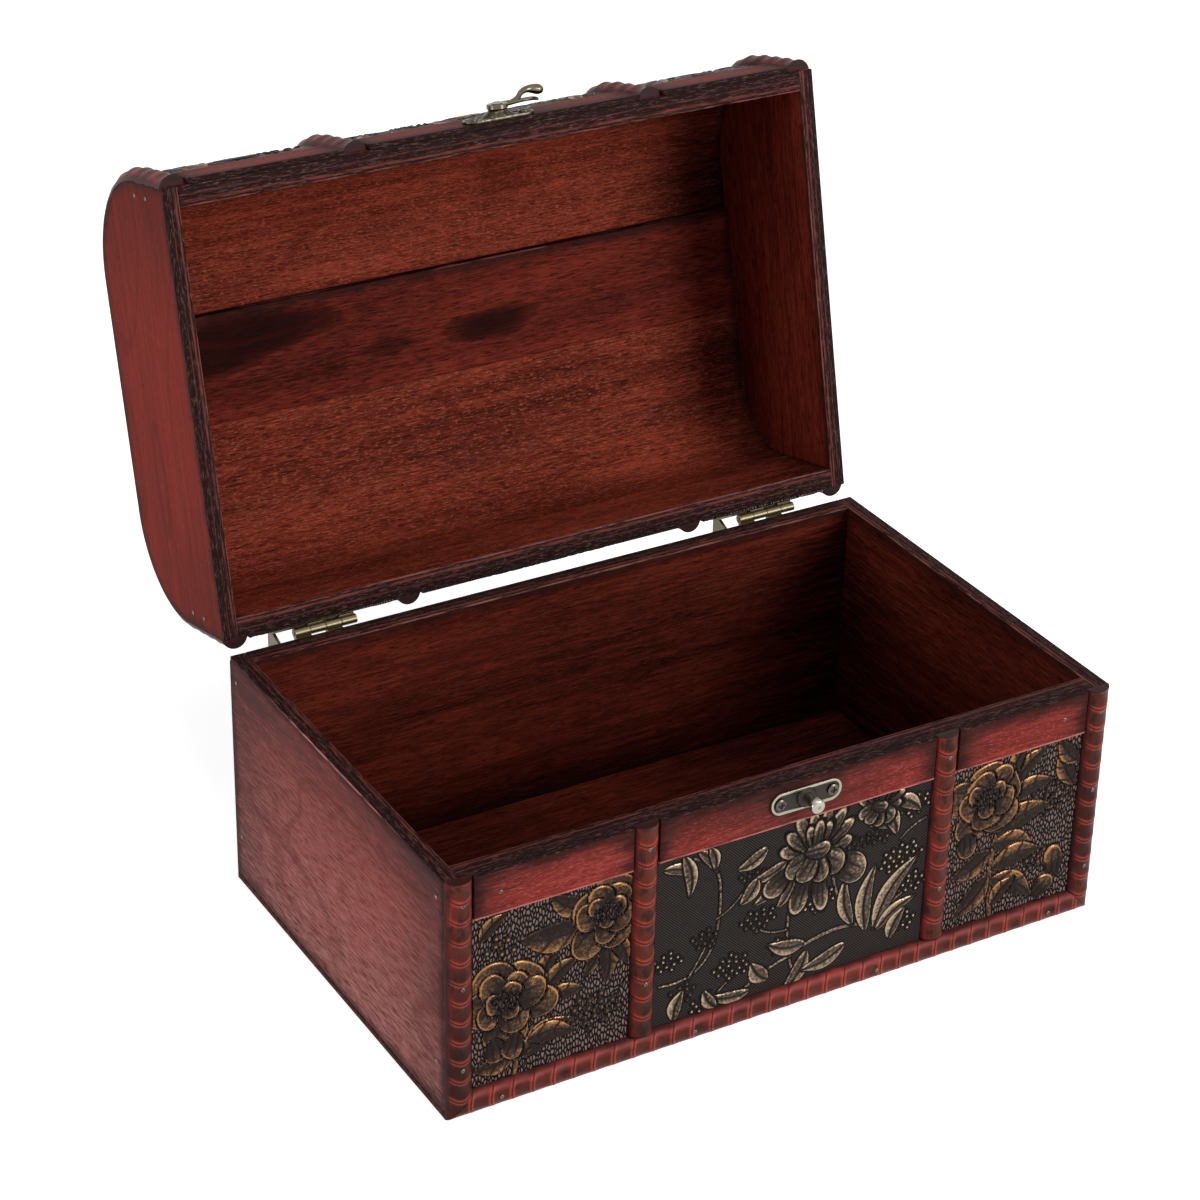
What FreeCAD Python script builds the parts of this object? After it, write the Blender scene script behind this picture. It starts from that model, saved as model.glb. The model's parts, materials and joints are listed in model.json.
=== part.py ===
import FreeCAD, Part
import math
import os

import Sketcher

# Driving dimensions in millimetres and degrees. Origin: middle of the underside,
# X to the right end, Y to the back, Z up. The lid is drawn closed and then opened.
SIZES = {
    # carcass boards
    "chest_width": 230.0,
    "chest_depth": 141.4,
    "base_height": 82.0,
    "wall_thickness": 6.5,
    "end_thickness": 5.0,
    "floor_thickness": 2.5,
    # front dressing
    "strip_thickness": 1.8,
    "strip_height": 14.8,
    "leather_thickness": 1.0,
    "moulding_width": 8.6,
    "moulding_height": 3.6,
    "divider_left_distance": 64.6,
    "divider_right_distance": 60.8,
    "back_moulding_gap": 2.8,
    # lid barrel
    "lid_gap": 0.6,
    "lid_height": 59.0,
    "lid_front_bend_radius": 36.0,
    "lid_back_bend_radius": 30.0,
    "lid_rail_height": 27.0,
    "lid_thin_thickness": 4.5,
    "lid_thick_thickness": 6.5,
    "front_joint_distance": 51.2,
    "back_joint_distance": 54.7,
    "open_joint_gap": 0.6,
    "tight_joint_gap": 0.15,
    "hoop_end_gap": 1.8,
    "lid_opening_angle": 103.5,
    # hinges
    "hinge_left_distance": 33.8,
    "hinge_right_distance": 32.4,
    "pin_offset": 2.8,
    "pin_radius": 0.75,
    "barrel_radius": 1.5,
    "barrel_length": 21.6,
    "knuckle_count": 4,
    "knuckle_gap": 0.25,
    "pin_clearance": 0.05,
    "leaf_thickness": 0.9,
    "leaf_height": 12.0,
    "leaf_rim_gap": 0.5,
    "flange_reach_length": 6.0,
    "flange_thickness": 1.0,
    "flange_near_distance": 2.6,
    "flange_far_distance": 6.2,
    "flange_clearance": 0.12,
    "hinge_screw_pitch": 12.0,
    # latch
    "latch_pivot_offset": 0.8,
    "latch_height": 4.3,
    "latch_plate_length": 24.6,
    "latch_plate_width": 7.4,
    "latch_plate_thickness": 1.0,
    "latch_screw_pitch": 18.2,
    "boss_base_radius": 4.4,
    "boss_top_radius": 2.9,
    "boss_height": 2.0,
    "staple_boss_height": 1.0,
    "hub_radius": 3.4,
    "hub_thickness": 1.6,
    "hub_gap": 0.15,
    "rivet_radius": 1.2,
    "rivet_head_radius": 2.0,
    "rivet_head_height": 1.0,
    "hook_reach_length": 11.5,
    "hook_swing_angle": 78.0,
    "arm_width": 2.6,
    "arm_thickness": 1.4,
    "claw_thickness": 1.6,
    "tail_radius": 1.0,
    "bulb_radius": 1.8,
    "tail_root_offset": 4.4,
    "tail_bend_offset": 9.6,
    "tail_length": 17.6,
    "tail_side_offset": 5.2,
    "tail_lift_height": 2.2,
    "peg_radius": 1.5,
    "peg_clearance": 0.3,
    "peg_neck_length": 3.0,
    "peg_head_radius": 2.5,
    "peg_head_length": 2.6,
    # fasteners
    "screw_head_radius": 1.9,
    "screw_head_height": 0.6,
    "screw_radius": 1.0,
    "screw_length": 6.0,
    "brad_head_radius": 0.8,
    "brad_head_height": 0.35,
    "brad_radius": 0.5,
    "brad_length": 7.0,
    "brad_edge_distance": 4.4,
    "brad_rim_distance": 7.5,
    "brad_floor_distance": 18.0,
    "brad_divider_height": 27.5,
    "brad_end_distance": 17.0,
    "lid_brad_low_height": 14.2,
    "lid_brad_high_height": 23.0,
    "hoop_brad_height": 9.0,
}

doc = FreeCAD.newDocument("treasure_chest")
sheet = doc.addObject("Spreadsheet::Sheet", "dims")
for row, (alias, number) in enumerate(SIZES.items(), start=1):
    sheet.set(f"A{row}", alias)
    sheet.set(f"B{row}", str(number))
    sheet.setAlias(f"B{row}", alias)
doc.recompute()

# Places that several pieces share, written as expressions of the sheet
LEFT = "-dims.chest_width / 2"
RIGHT = "dims.chest_width / 2"
FRONT = "-dims.chest_depth / 2"
BACK = "dims.chest_depth / 2"
INNER_LEFT = f"({LEFT} + dims.end_thickness)"
INNER_WIDTH = "(dims.chest_width - 2 * dims.end_thickness)"
WALL_HEIGHT = "(dims.base_height - dims.floor_thickness)"
RIM = "(dims.base_height + dims.lid_gap)"
CROWN = f"({RIM} + dims.lid_height)"
PIN_Y = f"({BACK} + dims.pin_offset)"
PIN_Z = "(dims.base_height + dims.lid_gap / 2)"
HALF_MOULDING = "dims.moulding_width / 2"
ROUND_RADIUS = ("(dims.moulding_width ^ 2 / (8 * dims.moulding_height)"
                " + dims.moulding_height / 2)")
ROUND_SINK = f"({ROUND_RADIUS} - dims.moulding_height)"
STRIP_FACE = f"({FRONT} - dims.strip_thickness)"
LATCH_Z = f"({RIM} + dims.latch_height)"
PEG_X = "(dims.latch_pivot_offset + dims.hook_reach_length * cos(dims.hook_swing_angle * 1 deg))"
PEG_Z = f"({LATCH_Z} - dims.hook_reach_length * sin(dims.hook_swing_angle * 1 deg))"
MOULDING_CENTRES = {
    "left_end": f"({LEFT} + {HALF_MOULDING})",
    "left_divider": f"({LEFT} + dims.divider_left_distance)",
    "right_divider": f"({RIGHT} - dims.divider_right_distance)",
    "right_end": f"({RIGHT} - {HALF_MOULDING})",
}
FIELDS = {
    "left": ("left_end", "left_divider"),
    "centre": ("left_divider", "right_divider"),
    "right": ("right_divider", "right_end"),
}


def value(expression):
    """Number that an expression of the sheet stands for."""
    return float(sheet.evalExpression(str(expression)))


def bind(obj, places):
    for name, expression in places.items():
        obj.setExpression(name, str(expression))
    return obj


def bind_base(obj, x, y, z):
    return bind(obj, {"Placement.Base.x": x, "Placement.Base.y": y, "Placement.Base.z": z})


def block(name, x, y, z, length, width, height):
    """Box from its lowest corner, with its sizes along X, Y and Z."""
    obj = doc.addObject("Part::Box", name)
    bind(obj, {"Length": length, "Width": width, "Height": height})
    return bind_base(obj, x, y, z)


TURNS = {
    "x": FreeCAD.Rotation(FreeCAD.Vector(0, 1, 0), 90),
    "-x": FreeCAD.Rotation(FreeCAD.Vector(0, 1, 0), -90),
    "y": FreeCAD.Rotation(FreeCAD.Vector(1, 0, 0), -90),
    "-y": FreeCAD.Rotation(FreeCAD.Vector(1, 0, 0), 90),
    "z": FreeCAD.Rotation(),
    "-z": FreeCAD.Rotation(FreeCAD.Vector(1, 0, 0), 180),
}


def rod(name, x, y, z, axis, radius, length):
    """Cylinder that starts at a point and runs along an axis."""
    obj = doc.addObject("Part::Cylinder", name)
    obj.Placement = FreeCAD.Placement(FreeCAD.Vector(), TURNS[axis])
    bind(obj, {"Radius": radius, "Height": length})
    return bind_base(obj, x, y, z)


def cone(name, x, y, z, axis, radius, end_radius, length):
    obj = doc.addObject("Part::Cone", name)
    obj.Placement = FreeCAD.Placement(FreeCAD.Vector(), TURNS[axis])
    bind(obj, {"Radius1": radius, "Radius2": end_radius, "Height": length})
    return bind_base(obj, x, y, z)


def fuse(name, parts):
    obj = doc.addObject("Part::MultiFuse", name)
    obj.Shapes = parts
    obj.Refine = True
    return obj


def common(name, first, second):
    obj = doc.addObject("Part::Common", name)
    obj.Base = first
    obj.Tool = second
    return obj


def cut(name, first, *tools):
    for number, tool in enumerate(tools):
        obj = doc.addObject("Part::Cut", f"{name}_{number}")
        obj.Base = first
        obj.Tool = tool
        first = obj
    return first


def group(name, parts):
    obj = doc.addObject("Part::Compound", name)
    obj.Links = parts
    return obj


def plane(body, role):
    return [item for item in body.Origin.OriginFeatures if item.Role == role][0]


def sketch_on(body, role, name):
    sketch = body.newObject("Sketcher::SketchObject", name)
    sketch.AttachmentSupport = [(plane(body, role), "")]
    sketch.MapMode = "FlatFace"
    return sketch


def hold(sketch, kind, reference, expression, name):
    """Adds a dimension to a sketch and ties it to the sheet."""
    index = sketch.addConstraint(Sketcher.Constraint(kind, *reference, value(expression)))
    sketch.renameConstraint(index, name)
    sketch.setExpression(f"Constraints.{name}", str(expression))


def pad(body, sketch, length, name):
    feature = body.newObject("PartDesign::Pad", name)
    feature.Profile = sketch
    feature.setExpression("Length", str(length))
    return feature


def outline_pad(name, role, corners, length):
    """Straight-sided outline, given as expressions of its corners, padded from a plane."""
    body = doc.addObject("PartDesign::Body", name)
    sketch = sketch_on(body, role, f"{name}_outline")
    points = [FreeCAD.Vector(value(x), value(y), 0) for x, y in corners]
    count = len(points)
    for number in range(count):
        sketch.addGeometry(Part.LineSegment(points[number], points[(number + 1) % count]), False)
    for number in range(count):
        sketch.addConstraint(Sketcher.Constraint("Coincident", number, 2, (number + 1) % count, 1))
    for number, (x, y) in enumerate(corners):
        hold(sketch, "DistanceX", (-1, 1, number, 1), x, f"across_{number}")
        hold(sketch, "DistanceY", (-1, 1, number, 1), y, f"up_{number}")
    pad(body, sketch, length, f"{name}_pad")
    return body


def draw_barrel(sketch, inset, start, closed):
    """Barrel outline of the lid, set in from its outer face, from one edge over to the other."""
    front = f"({FRONT} + {inset})"
    back = f"({BACK} - ({inset}))"
    crown = f"({CROWN} - ({inset}) - ({start}))"
    front_bend = f"(dims.lid_front_bend_radius - ({inset}))"
    back_bend = f"(dims.lid_back_bend_radius - ({inset}))"
    y0, y1, top = value(front), value(back), value(crown)
    r0, r1 = value(front_bend), value(back_bend)
    front_centre = FreeCAD.Vector(y0 + r0, top - r0, 0)
    back_centre = FreeCAD.Vector(y1 - r1, top - r1, 0)
    up = FreeCAD.Vector(0, 0, 1)
    half_turn = math.pi / 2
    front_foot = FreeCAD.Vector(y0, 0, 0)
    front_shoulder = FreeCAD.Vector(y0, top - r0, 0)
    crown_front = FreeCAD.Vector(y0 + r0, top, 0)
    crown_back = FreeCAD.Vector(y1 - r1, top, 0)
    back_shoulder = FreeCAD.Vector(y1, top - r1, 0)
    back_foot = FreeCAD.Vector(y1, 0, 0)
    sketch.addGeometry(Part.LineSegment(front_foot, front_shoulder), False)
    sketch.addGeometry(Part.ArcOfCircle(Part.Circle(front_centre, up, r0), half_turn, math.pi), False)
    sketch.addGeometry(Part.LineSegment(crown_front, crown_back), False)
    sketch.addGeometry(Part.ArcOfCircle(Part.Circle(back_centre, up, r1), 0, half_turn), False)
    sketch.addGeometry(Part.LineSegment(back_shoulder, back_foot), False)
    for line, line_end, arc, arc_end in ((0, 2, 1, 2), (2, 1, 1, 1), (2, 2, 3, 2), (4, 1, 3, 1)):
        sketch.addConstraint(Sketcher.Constraint("Tangent", line, line_end, arc, arc_end))
    for line in (0, 4):
        sketch.addConstraint(Sketcher.Constraint("Vertical", line))
    sketch.addConstraint(Sketcher.Constraint("Horizontal", 2))
    sketch.addConstraint(Sketcher.Constraint("PointOnObject", 0, 1, -1))
    sketch.addConstraint(Sketcher.Constraint("PointOnObject", 4, 2, -1))
    hold(sketch, "DistanceX", (-1, 1, 0, 1), front, "front")
    hold(sketch, "DistanceX", (-1, 1, 4, 2), back, "back")
    hold(sketch, "DistanceY", (-1, 1, 2, 1), crown, "crown")
    hold(sketch, "Radius", (1,), front_bend, "front_bend")
    hold(sketch, "Radius", (3,), back_bend, "back_bend")
    if closed:
        sketch.addGeometry(Part.LineSegment(back_foot, front_foot), False)
        sketch.addConstraint(Sketcher.Constraint("Coincident", 4, 2, 5, 1))
        sketch.addConstraint(Sketcher.Constraint("Coincident", 5, 2, 0, 1))


def barrel(name, inset, start, x, length):
    """Solid of the barrel outline, from a height start up, from x along the chest."""
    body = doc.addObject("PartDesign::Body", name)
    sketch = sketch_on(body, "YZ_Plane", f"{name}_outline")
    draw_barrel(sketch, inset, start, True)
    pad(body, sketch, length, f"{name}_pad")
    return bind_base(body, x, "0", start)


NODES = []
LID_NODES = []


def node(label, obj):
    obj.Label = label
    NODES.append(obj)
    return obj


def lid_node(label, obj):
    """Piece of the lid or its hook: drawn closed, then turned open about the hinge pins."""
    opened = group(f"{label}_opened", [obj])
    LID_NODES.append(opened)
    return node(label, opened)


def field_span(name):
    """Left edge and width of a front field, between the mouldings at its sides."""
    before, after = FIELDS[name]
    start = f"({MOULDING_CENTRES[before]} + {HALF_MOULDING})"
    return start, f"({MOULDING_CENTRES[after]} - {HALF_MOULDING} - {start})"


# Fasteners
def fastener(kind, name, x, y, z, axis):
    """Brad or screw with its head on the surface at the point, driven along the axis."""
    back_axis = axis[1:] if axis.startswith("-") else f"-{axis}"
    shank = rod(f"{name}_shank", x, y, z, axis, f"dims.{kind}_radius", f"dims.{kind}_length")
    head = rod(f"{name}_head", x, y, z, back_axis, f"dims.{kind}_head_radius", f"dims.{kind}_head_height")
    return fuse(name, [shank, head])


def brad(name, x, y, z, axis):
    return fastener("brad", name, x, y, z, axis)


def screw(name, x, y, z, axis):
    return fastener("screw", name, x, y, z, axis)


ROUND_FACE = f"({FRONT} - dims.moulding_height)"
HIGH_BRAD = "(dims.base_height - dims.brad_rim_distance)"
MIDDLE_BRAD = f"(({HIGH_BRAD} + dims.brad_floor_distance) / 2)"

front_nails = []
for side in ("left_end", "right_end"):
    for level, height in enumerate((HIGH_BRAD, MIDDLE_BRAD, "dims.brad_floor_distance")):
        front_nails.append(brad(f"brad_{side}_{level}", MOULDING_CENTRES[side], ROUND_FACE, height, "y"))
for side in ("left_divider", "right_divider"):
    for level, height in enumerate((HIGH_BRAD, "dims.brad_divider_height")):
        front_nails.append(brad(f"brad_{side}_{level}", MOULDING_CENTRES[side], ROUND_FACE, height, "y"))
BOTTOM_BRADS = 4
for number in range(BOTTOM_BRADS):
    step = f"(dims.chest_width - 2 * dims.brad_end_distance) / {BOTTOM_BRADS - 1}"
    along = f"({LEFT} + dims.brad_end_distance + {number} * {step})"
    front_nails.append(brad(f"brad_bottom_{number}", along, ROUND_FACE, HALF_MOULDING, "y"))
STRIP_BRADS = {"left": f"({LEFT} + dims.brad_end_distance)", "right": f"({RIGHT} - dims.brad_end_distance)"}
for side, along in STRIP_BRADS.items():
    front_nails.append(brad(f"brad_strip_{side}", along, STRIP_FACE, HIGH_BRAD, "y"))
front_brads = group("front_brad_group", front_nails)

back_nails = []
for side in ("left_end", "right_end"):
    for level, height in enumerate((HIGH_BRAD, "dims.brad_floor_distance")):
        back_nails.append(brad(f"brad_back_{side}_{level}", MOULDING_CENTRES[side],
                               f"({BACK} + dims.moulding_height)", height, "-y"))
back_brads = group("back_brad_group", back_nails)

END_SIDES = (("left", LEFT, "x"), ("right", RIGHT, "-x"))
WALL_LINES = (("front", f"({FRONT} + dims.brad_edge_distance)"),
              ("back", f"({BACK} - dims.brad_edge_distance)"))
base_nails = []
lid_nails = []
for side, face, axis in END_SIDES:
    for wall, line in WALL_LINES:
        for level, height in enumerate((HIGH_BRAD, "dims.brad_floor_distance")):
            base_nails.append(brad(f"brad_base_{side}_{wall}_{level}", face, line, height, axis))
        for level, rise in enumerate(("dims.lid_brad_low_height", "dims.lid_brad_high_height")):
            lid_nails.append(brad(f"brad_lid_{side}_{wall}_{level}", face, line, f"({RIM} + {rise})", axis))
base_end_brads = group("base_end_brad_group", base_nails)
lid_end_brads = group("lid_end_brad_group", lid_nails)

HOOP_CREST = f"({CROWN} + dims.moulding_height)"
hoop_nails = []
for side, centre in MOULDING_CENTRES.items():
    low = f"({RIM} + dims.hoop_brad_height)"
    hoop_nails.append(brad(f"brad_hoop_{side}_front", centre, ROUND_FACE, low, "y"))
    hoop_nails.append(brad(f"brad_hoop_{side}_back", centre, f"({BACK} + dims.moulding_height)", low, "-y"))
    hoop_nails.append(brad(f"brad_hoop_{side}_crown", centre, "0", HOOP_CREST, "-z"))
hoop_brads = group("hoop_brad_group", hoop_nails)

# Screws of the hinges and the latch
HINGES = {"left": f"({LEFT} + dims.hinge_left_distance)", "right": f"({RIGHT} - dims.hinge_right_distance)"}
LEAF_FACE = f"({BACK} + dims.leaf_thickness)"
LID_LEAF_BASE = f"({BACK} + dims.leather_thickness)"
LID_LEAF_FACE = f"({LID_LEAF_BASE} + dims.leaf_thickness)"
LEAF_START = "(dims.barrel_radius + dims.leaf_rim_gap)"
BASE_LEAF_TOP = f"({PIN_Z} - {LEAF_START})"
LID_LEAF_LOW = f"({PIN_Z} + {LEAF_START})"
base_hinge_screws = []
lid_hinge_screws = []
for side, middle in HINGES.items():
    for number, way in enumerate(("-", "+")):
        along = f"({middle} {way} dims.hinge_screw_pitch / 2)"
        base_hinge_screws.append(screw(f"screw_base_{side}_{number}", along, LEAF_FACE,
                                       f"({BASE_LEAF_TOP} - dims.leaf_height / 2)", "-y"))
        lid_hinge_screws.append(screw(f"screw_lid_{side}_{number}", along, LID_LEAF_FACE,
                                      f"({LID_LEAF_LOW} + dims.leaf_height / 2)", "-y"))
base_screws = group("base_hinge_screw_group", base_hinge_screws)
lid_screws = group("lid_hinge_screw_group", lid_hinge_screws)

PLATE_FACE = f"({STRIP_FACE} - dims.latch_plate_thickness)"
staple_screw_list = []
plate_screw_list = []
for number, way in enumerate(("-", "+")):
    offset = f"{way} dims.latch_screw_pitch / 2"
    staple_x = f"({PEG_X} {offset})"
    plate_x = f"(dims.latch_pivot_offset {offset})"
    staple_screw_list.append(screw(f"screw_staple_{number}", staple_x, PLATE_FACE, PEG_Z, "y"))
    plate_screw_list.append(screw(f"screw_plate_{number}", plate_x, PLATE_FACE, LATCH_Z, "y"))
staple_screws = group("staple_screw_group", staple_screw_list)
plate_screws = group("plate_screw_group", plate_screw_list)

# Carcass of the base: bottom board under four walls, ends lapped over the front and back
node("base_bottom_panel", block("bottom", LEFT, FRONT, "0", "dims.chest_width", "dims.chest_depth",
                                "dims.floor_thickness"))
front_wall = block("front_wall", INNER_LEFT, FRONT, "dims.floor_thickness", INNER_WIDTH,
                   "dims.wall_thickness", WALL_HEIGHT)
node("base_front_panel", cut("front_wall_drilled", front_wall, front_brads, base_end_brads, staple_screws))
back_wall = block("back_wall", INNER_LEFT, f"{BACK} - dims.wall_thickness", "dims.floor_thickness",
                  INNER_WIDTH, "dims.wall_thickness", WALL_HEIGHT)
node("base_back_panel", cut("back_wall_drilled", back_wall, back_brads, base_end_brads, base_screws))
for side, start in (("left", LEFT), ("right", f"{RIGHT} - dims.end_thickness")):
    end = block(f"{side}_end", start, FRONT, "dims.floor_thickness", "dims.end_thickness",
                "dims.chest_depth", WALL_HEIGHT)
    drilled = cut(f"{side}_end_drilled", end, base_end_brads, front_brads, back_brads)
    node(f"base_{side}_end", drilled)

# Front dressing: leather fields under flat strips, between the mouldings
LEATHER_TOP = "(dims.base_height - dims.strip_height)"
for field in FIELDS:
    start, span = field_span(field)
    sheet_height = f"{LEATHER_TOP} - dims.moulding_width"
    leather = block(f"leather_{field}", start, f"{FRONT} - dims.leather_thickness", "dims.moulding_width",
                    span, "dims.leather_thickness", sheet_height)
    node(f"front_leather_{field}", leather)
    strip = block(f"strip_{field}", start, STRIP_FACE, LEATHER_TOP, span, "dims.strip_thickness",
                  "dims.strip_height")
    node(f"front_top_strip_{field}", cut(f"strip_{field}_drilled", strip, front_brads, staple_screws))


# Half-round mouldings on the front, mitred at the lower corners
def upright_round(name, centre, start, length, face, sink):
    return rod(f"{name}_round", centre, f"{face} {sink} {ROUND_SINK}", start, "z", ROUND_RADIUS, length)


KEEP_DEPTH = "(2 * dims.moulding_height)"
for side, edge, inward in (("left", LEFT, "+"), ("right", RIGHT, "-")):
    name = f"front_corner_{side}"
    inner = f"({edge} {inward} dims.moulding_width)"
    corners = [(edge, "0"), (inner, "dims.moulding_width"), (inner, "dims.base_height"),
               (edge, "dims.base_height")]
    keep = outline_pad(f"{name}_keep", "XZ_Plane", corners, KEEP_DEPTH)
    bind_base(keep, "0", FRONT, "0")
    body = upright_round(name, MOULDING_CENTRES[f"{side}_end"], "0", "dims.base_height", FRONT, "+")
    piece = common(f"{name}_half", body, keep)
    node(f"front_corner_moulding_{side}", cut(f"{name}_drilled", piece, front_brads))

corners = [(LEFT, "0"), (RIGHT, "0"), (f"({RIGHT} - dims.moulding_width)", "dims.moulding_width"),
           (f"({LEFT} + dims.moulding_width)", "dims.moulding_width")]
keep = outline_pad("bottom_moulding_keep", "XZ_Plane", corners, KEEP_DEPTH)
bind_base(keep, "0", FRONT, "0")
body = rod("bottom_moulding_round", LEFT, f"{FRONT} + {ROUND_SINK}", HALF_MOULDING, "x", ROUND_RADIUS,
           "dims.chest_width")
piece = common("bottom_moulding_half", body, keep)
node("front_bottom_moulding", cut("bottom_moulding_drilled", piece, front_brads))

for side in ("left", "right"):
    name = f"front_divider_{side}"
    centre = MOULDING_CENTRES[f"{side}_divider"]
    height = "dims.base_height - dims.moulding_width"
    keep = block(f"{name}_keep", f"{centre} - {HALF_MOULDING}", f"{FRONT} - {KEEP_DEPTH}",
                 "dims.moulding_width", "dims.moulding_width", KEEP_DEPTH, height)
    body = upright_round(name, centre, "dims.moulding_width", height, FRONT, "+")
    piece = common(f"{name}_half", body, keep)
    node(f"front_divider_moulding_{side}", cut(f"{name}_drilled", piece, front_brads))

# Back corner mouldings stop short of the rim, so that the lid hoops swing past them
for side in ("left", "right"):
    name = f"back_corner_{side}"
    centre = MOULDING_CENTRES[f"{side}_end"]
    height = "dims.base_height - dims.back_moulding_gap"
    keep = block(f"{name}_keep", f"{centre} - {HALF_MOULDING}", BACK, "0", "dims.moulding_width",
                 KEEP_DEPTH, height)
    body = upright_round(name, centre, "0", height, BACK, "-")
    piece = common(f"{name}_half", body, keep)
    node(f"back_corner_moulding_{side}", cut(f"{name}_drilled", piece, back_brads))

node("front_brads", front_brads)
node("back_brads", back_brads)
node("base_end_brads", base_end_brads)

# Lid ends and rails
for side, start in (("left", LEFT), ("right", f"({RIGHT} - dims.end_thickness)")):
    end = barrel(f"lid_{side}_board", "0", RIM, start, "dims.end_thickness")
    lid_node(f"lid_{side}_end", cut(f"lid_{side}_drilled", end, lid_end_brads, hoop_brads))

# Barrel boards: shells between the outer outline and outlines set in by the board
BELOW_RIM = f"({RIM} - dims.wall_thickness)"
outer = barrel("barrel_outer", "0", RIM, INNER_LEFT, INNER_WIDTH)
thin_inner = barrel("barrel_thin_inner", "dims.lid_thin_thickness", BELOW_RIM, INNER_LEFT, INNER_WIDTH)
thick_inner = barrel("barrel_thick_inner", "dims.lid_thick_thickness", BELOW_RIM, INNER_LEFT, INNER_WIDTH)
thin_shell = cut("thin_shell", outer, thin_inner)
thick_shell = cut("thick_shell", outer, thick_inner)
RAIL_TOP = f"({RIM} + dims.lid_rail_height)"
ABOVE_RAIL = f"({CROWN} - {RAIL_TOP})"
FRONT_JOINT = f"({FRONT} + dims.front_joint_distance)"
BACK_JOINT = f"({BACK} - dims.back_joint_distance)"
FRONT_EDGE = f"({FRONT_JOINT} - dims.open_joint_gap / 2)"
MIDDLE_START = f"({FRONT_JOINT} + dims.open_joint_gap / 2)"
MIDDLE_END = f"({BACK_JOINT} - dims.tight_joint_gap / 2)"
BACK_START = f"({BACK_JOINT} + dims.tight_joint_gap / 2)"
slices = {
    "lid_front_rail": (thick_shell, FRONT, "0", RIM, "dims.lid_rail_height"),
    "lid_back_rail": (thick_shell, "0", BACK, RIM, "dims.lid_rail_height"),
    "lid_front_board": (thin_shell, FRONT, FRONT_EDGE, RAIL_TOP, ABOVE_RAIL),
    "lid_middle_board": (thick_shell, MIDDLE_START, MIDDLE_END, RAIL_TOP, ABOVE_RAIL),
    "lid_back_board": (thick_shell, BACK_START, BACK, RAIL_TOP, ABOVE_RAIL),
}
for name, (shell, start, end, low, height) in slices.items():
    keep = block(f"{name}_keep", INNER_LEFT, start, low, INNER_WIDTH, f"{end} - ({start})", height)
    piece = common(f"{name}_slice", shell, keep)
    lid_node(name, cut(f"{name}_drilled", piece, lid_end_brads, hoop_brads, lid_screws, plate_screws))

# Leather skins of the barrel and the flat strips under them at the front
for field in FIELDS:
    start, span = field_span(field)
    over = barrel(f"skin_{field}_over", "(0 - dims.leather_thickness)", RIM, start, span)
    under = barrel(f"skin_{field}_under", "0", BELOW_RIM, start, span)
    strip_zone = block(f"skin_{field}_zone", start, f"{FRONT} - 2 * dims.leather_thickness", BELOW_RIM,
                       span, "2 * dims.leather_thickness", "dims.wall_thickness + dims.strip_height")
    lid_node(f"lid_leather_{field}", cut(f"skin_{field}", over, under, strip_zone, lid_screws))
    strip = block(f"lid_strip_{field}_board", start, STRIP_FACE, RIM, span, "dims.strip_thickness",
                  "dims.strip_height")
    lid_node(f"lid_front_strip_{field}", cut(f"lid_strip_{field}_drilled", strip, plate_screws))


# Hoops: a half-round swept over the barrel from the front rim to the back rim
def hoop(name, centre):
    body = doc.addObject("PartDesign::Body", name)
    start = f"({RIM} + dims.hoop_end_gap)"
    path = sketch_on(body, "YZ_Plane", f"{name}_path")
    draw_barrel(path, "0", start, False)
    section = sketch_on(body, "XY_Plane", f"{name}_section")
    half, radius, face = value(HALF_MOULDING), value(ROUND_RADIUS), value(FRONT)
    left = FreeCAD.Vector(-half, face, 0)
    right = FreeCAD.Vector(half, face, 0)
    centre_point = FreeCAD.Vector(0, face + value(ROUND_SINK), 0)
    spread = math.asin(half / radius)
    bulge = 1.5 * math.pi
    round_line = Part.Circle(centre_point, FreeCAD.Vector(0, 0, 1), radius)
    section.addGeometry(Part.LineSegment(left, right), False)
    section.addGeometry(Part.ArcOfCircle(round_line, bulge - spread, bulge + spread), False)
    section.addConstraint(Sketcher.Constraint("Coincident", 0, 1, 1, 1))
    section.addConstraint(Sketcher.Constraint("Coincident", 0, 2, 1, 2))
    section.addConstraint(Sketcher.Constraint("Horizontal", 0))
    hold(section, "DistanceX", (-1, 1, 0, 1), f"0 - {HALF_MOULDING}", "left")
    hold(section, "DistanceX", (-1, 1, 0, 2), HALF_MOULDING, "right")
    hold(section, "DistanceY", (-1, 1, 0, 1), FRONT, "face")
    hold(section, "Radius", (1,), ROUND_RADIUS, "round")
    pipe = body.newObject("PartDesign::AdditivePipe", f"{name}_sweep")
    pipe.Profile = section
    pipe.Spine = path
    return bind_base(body, centre, "0", start)


HOOP_NAMES = {"left_end": "lid_hoop_left_end", "left_divider": "lid_hoop_left_middle",
              "right_divider": "lid_hoop_right_middle", "right_end": "lid_hoop_right_end"}
for side, label in HOOP_NAMES.items():
    lid_node(label, cut(f"{label}_drilled", hoop(f"{label}_body", MOULDING_CENTRES[side]), hoop_brads))

lid_node("lid_end_brads", lid_end_brads)
lid_node("hoop_brads", hoop_brads)

# Hinges: leaves on the back faces, knuckles in turn on one pin, and a flange that stops the lid
PITCH = "(dims.barrel_length / dims.knuckle_count)"
KNUCKLE = f"({PITCH} - dims.knuckle_gap)"
FLANGE_CLEAR = "(dims.pin_offset - dims.leather_thickness - dims.leaf_thickness - dims.flange_clearance)"
OPENING = "(dims.lid_opening_angle * 1 deg)"


def opened_y(rise):
    """Y of a point just under the opened lid leaf, at a distance up the leaf from the pin."""
    return f"({PIN_Y} - {FLANGE_CLEAR} * cos{OPENING} + {rise} * sin{OPENING})"


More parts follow.
